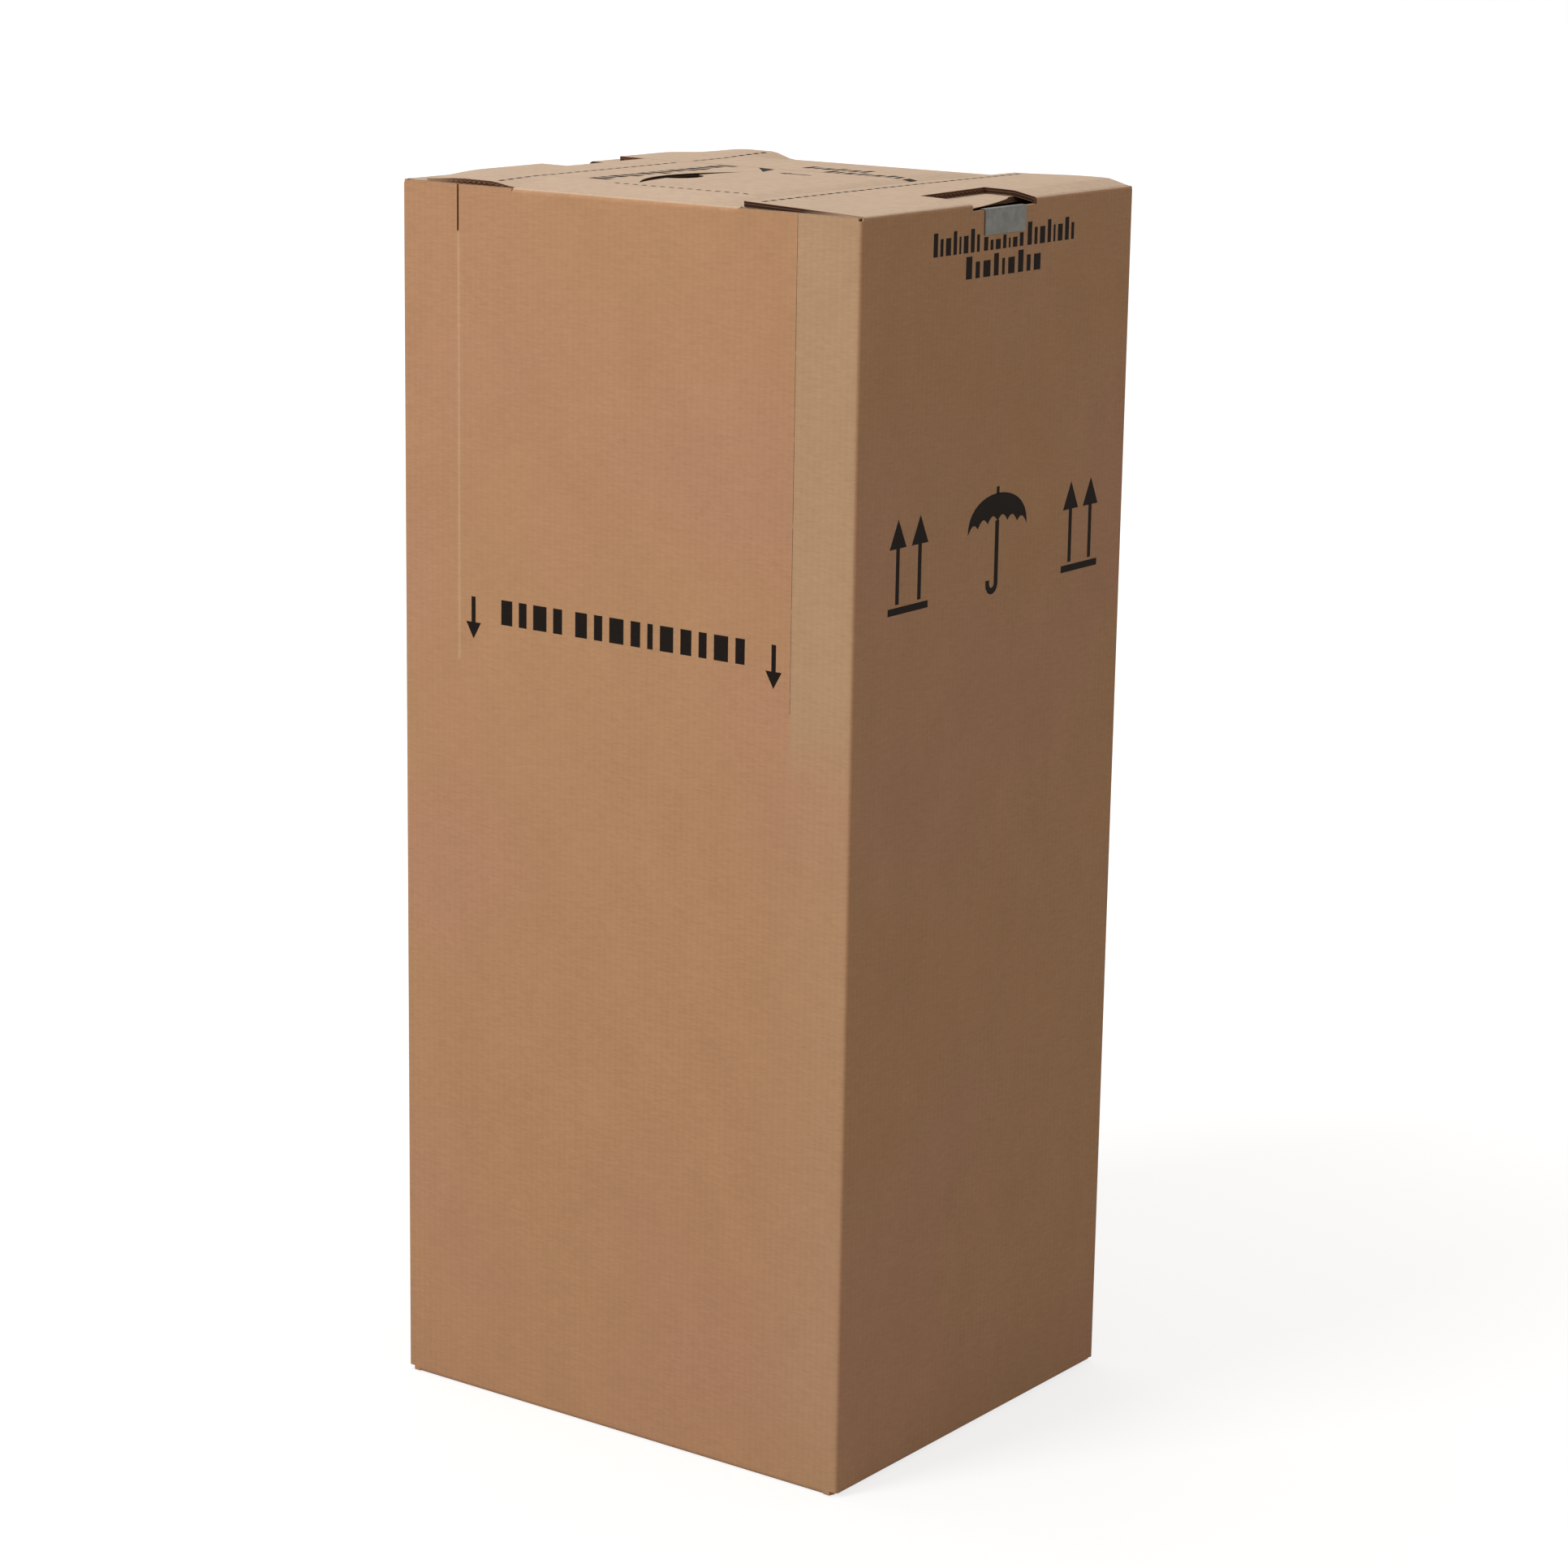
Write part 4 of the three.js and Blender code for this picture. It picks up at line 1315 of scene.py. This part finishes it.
@dataclass
class RightWallPrint:
    """Upright arrows and an umbrella on the right wall, and rows of bars by the hook."""

    ink: bpy.types.Material
    arrow_axes: tuple[float, ...] = (-179.3, -139.8, 147.0, 186.6)
    bar_middles: Point = (-159.6, 167.0)
    bar_length: float = 72.0
    bar_top: float = 949.0
    bar_foot: float = 941.5
    tip_z: float = 1040.0
    head_width: float = 30.0
    head_height: float = 30.0
    shaft_width: float = 6.2
    shaft_foot: float = 952.0
    canopy: Point = (-52.0, 60.0)
    canopy_top: float = 1045.0
    canopy_power: float = 0.85
    canopy_steps: int = 28
    rim_z: float = 1006.0
    rim_bow: float = 9.0
    ribs: int = 6
    rib_steps: int = 6
    scallop: float = 6.5
    ferrule_width: float = 5.2
    ferrule_height: float = 7.0
    handle_y: float = 3.3
    handle_width: float = 7.0
    handle_foot: float = 938.0
    hook_radius: float = 11.5
    hook_rise: float = 4.0
    overlap: float = 2.0
    handle_overlap: float = 10.0
    rows: tuple[Row, ...] = (
        (-128.0, -44.0, 1301.0, 1325.0, 8),
        (46.0, 136.0, 1301.0, 1325.0, 8),
        (-36.0, 38.0, 1301.0, 1315.0, 7),
        (-68.0, 72.0, 1274.0, 1297.0, 9),
    )

    def arrows(self, sheet: Print) -> None:
        """Draw both pairs of arrows over their bars.

        Args:
            sheet: The print that takes them.
        """
        first = self.arrow_axes[0]
        head = (self.head_width, self.head_height, self.shaft_width)
        upright = arrow(first, self.tip_z, self.shaft_foot, *head)
        sheet.shape(upright, tuple(y - first for y in self.arrow_axes[1:]))
        half = self.bar_length / 2
        left, right = self.bar_middles
        sides = (left - half, left + half, self.bar_foot, self.bar_top)
        sheet.repeat(sides, (right - left, 0), 2)

    def canopy_outline(self) -> list[Point]:
        """Outline the umbrella's canopy: a dome over a bowed rim with a scallop between its ribs.

        Returns:
            The corners, in order.
        """
        left, right = self.canopy
        middle = (left + right) / 2
        radius = (right - left) / 2
        rise = self.canopy_top - self.rim_z
        points = []
        for i in range(self.canopy_steps + 1):
            angle = math.pi * i / self.canopy_steps
            height = rise * math.sin(angle) ** self.canopy_power
            points.append((middle + radius * math.cos(angle), self.rim_z + height))
        width = (right - left) / self.ribs
        for rib in range(self.ribs):
            for i in range(1, self.rib_steps + 1):
                share = i / self.rib_steps
                y = left + width * (rib + share)
                lift = self.scallop * math.sin(math.pi * share)
                bow = self.rim_bow * (1 - ((y - middle) / radius) ** 2)
                points.append((y, self.rim_z + lift + bow))
        return points[:-1]

    def umbrella(self, sheet: Print) -> None:
        """Draw the umbrella: its canopy, its tip, and a handle that ends in a hook.

        Args:
            sheet: The print that takes it.
        """
        sheet.shape(self.canopy_outline())
        half = self.ferrule_width / 2
        low, high = self.canopy_top - self.overlap, self.canopy_top + self.ferrule_height
        sheet.bars([(self.handle_y - half, self.handle_y + half, low, high)])
        half = self.handle_width / 2
        bend_z = self.handle_foot + self.hook_radius
        top = self.rim_z + self.handle_overlap
        sheet.bars([(self.handle_y - half, self.handle_y + half, bend_z, top)])
        centre = self.handle_y + half - self.hook_radius
        outer = arc_points(centre, bend_z, self.hook_radius, 0, -180)
        inner = arc_points(centre, bend_z, self.hook_radius - self.handle_width, -180, 0)
        sheet.shape(outer + inner)
        end = centre - self.hook_radius
        sheet.bars([(end, end + self.handle_width, bend_z, bend_z + self.hook_rise)])

    def build(self) -> None:
        """Print the marks."""
        marks = Print("right_wall_marks", Wall.RIGHT, self.ink)
        self.arrows(marks)
        self.umbrella(marks)
        marks.lay()
        sheet = Print("right_wall_rows", Wall.RIGHT, self.ink)
        bars = BarRow()
        for row in self.rows:
            sheet.bars(bars.row(*row))
        sheet.lay()


@dataclass
class FrontPrint:
    """The two arrows and the row of bars that mark where the front wall folds down."""

    ink: bpy.types.Material
    arrow_x: float = 201.0
    top: float = 909.0
    tip: float = 863.0
    head_width: float = 20.5
    head_height: float = 18.0
    shaft_width: float = 5.6
    rows: tuple[Row, ...] = ((-162.0, -78.0, 883.0, 910.0, 4), (-60.0, 164.0, 883.0, 910.0, 10))

    def build(self) -> None:
        """Print the marks."""
        sheet = Print("front_wall_marks", Wall.FRONT, self.ink)
        head = (self.head_width, -self.head_height, self.shaft_width)
        sheet.shape(arrow(-self.arrow_x, self.tip, self.top, *head), (2 * self.arrow_x,))
        bars = BarRow(heights=(1.0,))
        for row in self.rows:
            sheet.bars(bars.row(*row))
        sheet.lay()


@dataclass
class TopPrint:
    """Dashed fold lines, small arrows and rows of bars on the closed top."""

    ink: bpy.types.Material
    left_line_x: float = -179.0
    right_line_x: float = 166.0
    line_start: float = -238.0
    dash: float = 9.0
    dash_pitch: float = 14.0
    dash_width: float = 4.2
    front_dashes: int = 22
    skipped_dashes: int = 2
    back_dashes: int = 10
    flap_dashes: int = 34
    short_dash: Sides = (-70.0, -64.0, -181.0, -178.0)
    short_pitch: float = 12.0
    short_dashes: int = 15
    triangle: tuple[Point, ...] = ((-74.0, 78.5), (-40.0, 40.0), (-48.0, 72.0))
    arrow_head: tuple[Point, ...] = ((-18.0, 41.0), (-6.0, 34.0), (-6.0, 48.0))
    arrow_shaft: Sides = (-6.0, 24.0, 39.0, 43.0)
    flap_row: Row = (-158.0, 74.0, -124.0, -99.0, 14)
    back_rows: tuple[Row, ...] = ((-40.0, 44.0, 112.0, 134.0, 7), (8.0, 136.0, 84.0, 104.0, 10))

    def dashes(self, sheet: Print, x: float, start: float, count: int) -> None:
        """Draw a dashed line along Y.

        Args:
            sheet: The print that takes the dashes.
            x: Where the line runs.
            start: Where its first dash begins.
            count: The number of dashes.
        """
        half = self.dash_width / 2
        sheet.repeat((x - half, x + half, start, start + self.dash), (0, self.dash_pitch), count)

    def build(self) -> None:
        """Print the marks on the carton's own flaps, and then those on the right flap."""
        bars = BarRow()
        fixed = Print("top_marks", Wall.TOP, self.ink)
        self.dashes(fixed, self.left_line_x, self.line_start, self.front_dashes)
        done = self.front_dashes + self.skipped_dashes
        start = self.line_start + done * self.dash_pitch
        self.dashes(fixed, self.left_line_x, start, self.back_dashes)
        fixed.shape(self.triangle)
        fixed.bars([self.arrow_shaft], 1)
        fixed.shape(self.arrow_head)
        upright = bars.row(*self.flap_row)
        fixed.bars([(low, high, start, end) for start, end, low, high in upright], 1)
        for row in self.back_rows:
            fixed.bars(bars.row(*row), 1)
        fixed.repeat(self.short_dash, (self.short_pitch, 0), self.short_dashes)
        fixed.lay()
        own = (Body.RIGHT_FLAP, Node.RIGHT_FLAP)
        moving = Print("right_flap_marks", Wall.TOP, self.ink, *own)
        self.dashes(moving, self.right_line_x, self.line_start, self.flap_dashes)
        moving.lay()


# Room, light and camera


@dataclass
class Studio:
    """A pale floor, a white surround and three soft lights."""

    floor_size: float = 60.0
    floor_colour: str = "989693"
    floor_roughness: float = 0.9
    floor_glow: float = 0.76
    shadow_reach: Point = (0.7, 2.6)
    surround: float = 0.22
    target: Place = (0.0, 0.0, 0.7)
    key_place: Place = (-1.7, -5.2, 3.6)
    key_power: float = 246.0
    key_size: float = 2.2
    top_place: Place = (-0.8, 0.4, 4.6)
    top_power: float = 56.0
    top_size: float = 3.0
    fill_place: Place = (5.0, -1.6, 2.4)
    fill_power: float = 46.0
    fill_size: float = 2.5

    def floor(self) -> None:
        """Make the floor. It glows to the camera up to white, and still takes the box's shadow."""
        deselect_all()
        bpy.ops.mesh.primitive_plane_add(size=self.floor_size, location=(0, 0, 0))
        floor = bpy.context.object
        floor.name = "floor"
        material, tree, shader = new_material("pale_floor")
        shader.inputs["Base Color"].default_value = linear(self.floor_colour)
        shader.inputs["Roughness"].default_value = self.floor_roughness
        place = add_node(tree, "ShaderNodeTexCoord").outputs["Object"]
        settings = {"operation": "LENGTH"}
        away = add_node(tree, "ShaderNodeVectorMath", settings, {0: place}).outputs[1]
        level = ramp(tree, away, *self.shadow_reach, self.floor_glow, 1.0)
        glow = math_node(tree, "MULTIPLY", self.seen(tree), level)
        shader.inputs["Emission Color"].default_value = (1, 1, 1, 1)
        tree.links.new(glow, shader.inputs["Emission Strength"])
        floor.data.materials.append(material)

    def seen(self, tree: Tree) -> Socket:
        """Make a mask that is 1 for camera, glossy and transmission rays.

        Args:
            tree: The node tree.

        Returns:
            The mask.
        """
        rays = add_node(tree, "ShaderNodeLightPath").outputs
        seen = math_node(tree, "MAXIMUM", rays["Is Camera Ray"], rays["Is Glossy Ray"])
        return math_node(tree, "MAXIMUM", seen, rays["Is Transmission Ray"])

    def world(self) -> None:
        """Make the surround: white where it is seen, and a soft light elsewhere."""
        world = bpy.data.worlds.new("surround")
        world.use_nodes = True
        tree = world.node_tree
        background = tree.nodes["Background"]
        background.inputs["Color"].default_value = (1, 1, 1, 1)
        strength = ramp(tree, self.seen(tree), 0, 1, self.surround, 1.0)
        tree.links.new(strength, background.inputs["Strength"])
        bpy.context.scene.world = world

    def light(self, name: str, place: Place, power: float, size: float) -> None:
        """Add a soft square light that faces the box.

        Args:
            name: The light's name.
            place: Where it stands.
            power: Its power in watts.
            size: The length of its side.
        """
        deselect_all()
        bpy.ops.object.light_add(type="AREA", location=place)
        lamp = bpy.context.object
        lamp.name = name
        lamp.data.energy = power
        lamp.data.size = size
        away = Vector(place) - Vector(self.target)
        lamp.rotation_euler = away.to_track_quat("Z", "Y").to_euler()

    def build(self) -> None:
        """Build the whole studio."""
        self.floor()
        self.world()
        self.light("key_light", self.key_place, self.key_power, self.key_size)
        self.light("top_light", self.top_place, self.top_power, self.top_size)
        self.light("fill_light", self.fill_place, self.fill_power, self.fill_size)


@dataclass
class ViewCamera:
    """The camera, at the viewing angle of the photograph."""

    place: Place = (2.62558, -3.56248, 1.73910)
    back: Place = (0.57274799, -0.78636405, 0.231498)
    up: Place = (-0.14933741, 0.17758611, 0.97270834)
    lens: float = 94.05
    sensor: float = 36.0

    def build(self) -> None:
        """Place the camera and make it the scene's own."""
        deselect_all()
        bpy.ops.object.camera_add(location=self.place)
        camera = bpy.context.object
        back = Vector(self.back).normalized()
        right = Vector(self.up).cross(back).normalized()
        turn = Matrix((right, back.cross(right), back)).transposed()
        camera.rotation_euler = turn.to_euler()
        camera.data.lens = self.lens
        camera.data.sensor_width = self.sensor
        bpy.context.scene.camera = camera


def main() -> None:
    """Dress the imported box, then set up the room, the light and the camera."""
    logging.basicConfig(level=logging.INFO, format="%(name)s: %(message)s")
    bpy.context.scene.view_settings.view_transform = "Standard"
    finishes = Finishes(
        board=KraftBoard("kraft_liner_walls").build(),
        flap_board=KraftBoard("kraft_liner_flap", flutes_along_x=True).build(),
        edge=FlutedEdge().build(),
        ink=PrintInk().build(),
        pressed=KraftBoard("pressed_kraft_liner", colour="bf9976").build(),
        steel=GalvanisedSteel().build(),
    )
    PackedNodes(finishes).dress()
    CutEdges(Node.CARTON, Body.BOX, finishes.edge).build()
    CutEdges(Node.RIGHT_FLAP, Body.RIGHT_FLAP, finishes.edge).build()
    FoldSkin(finishes.board).build()
    HookLip(finishes.flap_board).build()
    DoorSeams(finishes.board, finishes.pressed).build()
    # Painted shade: dark discs where the slots at the corners lie in shadow.
    CornerSlotShadows(finishes.ink).build()
    RightWallPrint(finishes.ink).build()
    FrontPrint(finishes.ink).build()
    TopPrint(finishes.ink).build()
    Studio().build()
    ViewCamera().build()
    deselect_all()


if __name__ == "__main__":
    main()
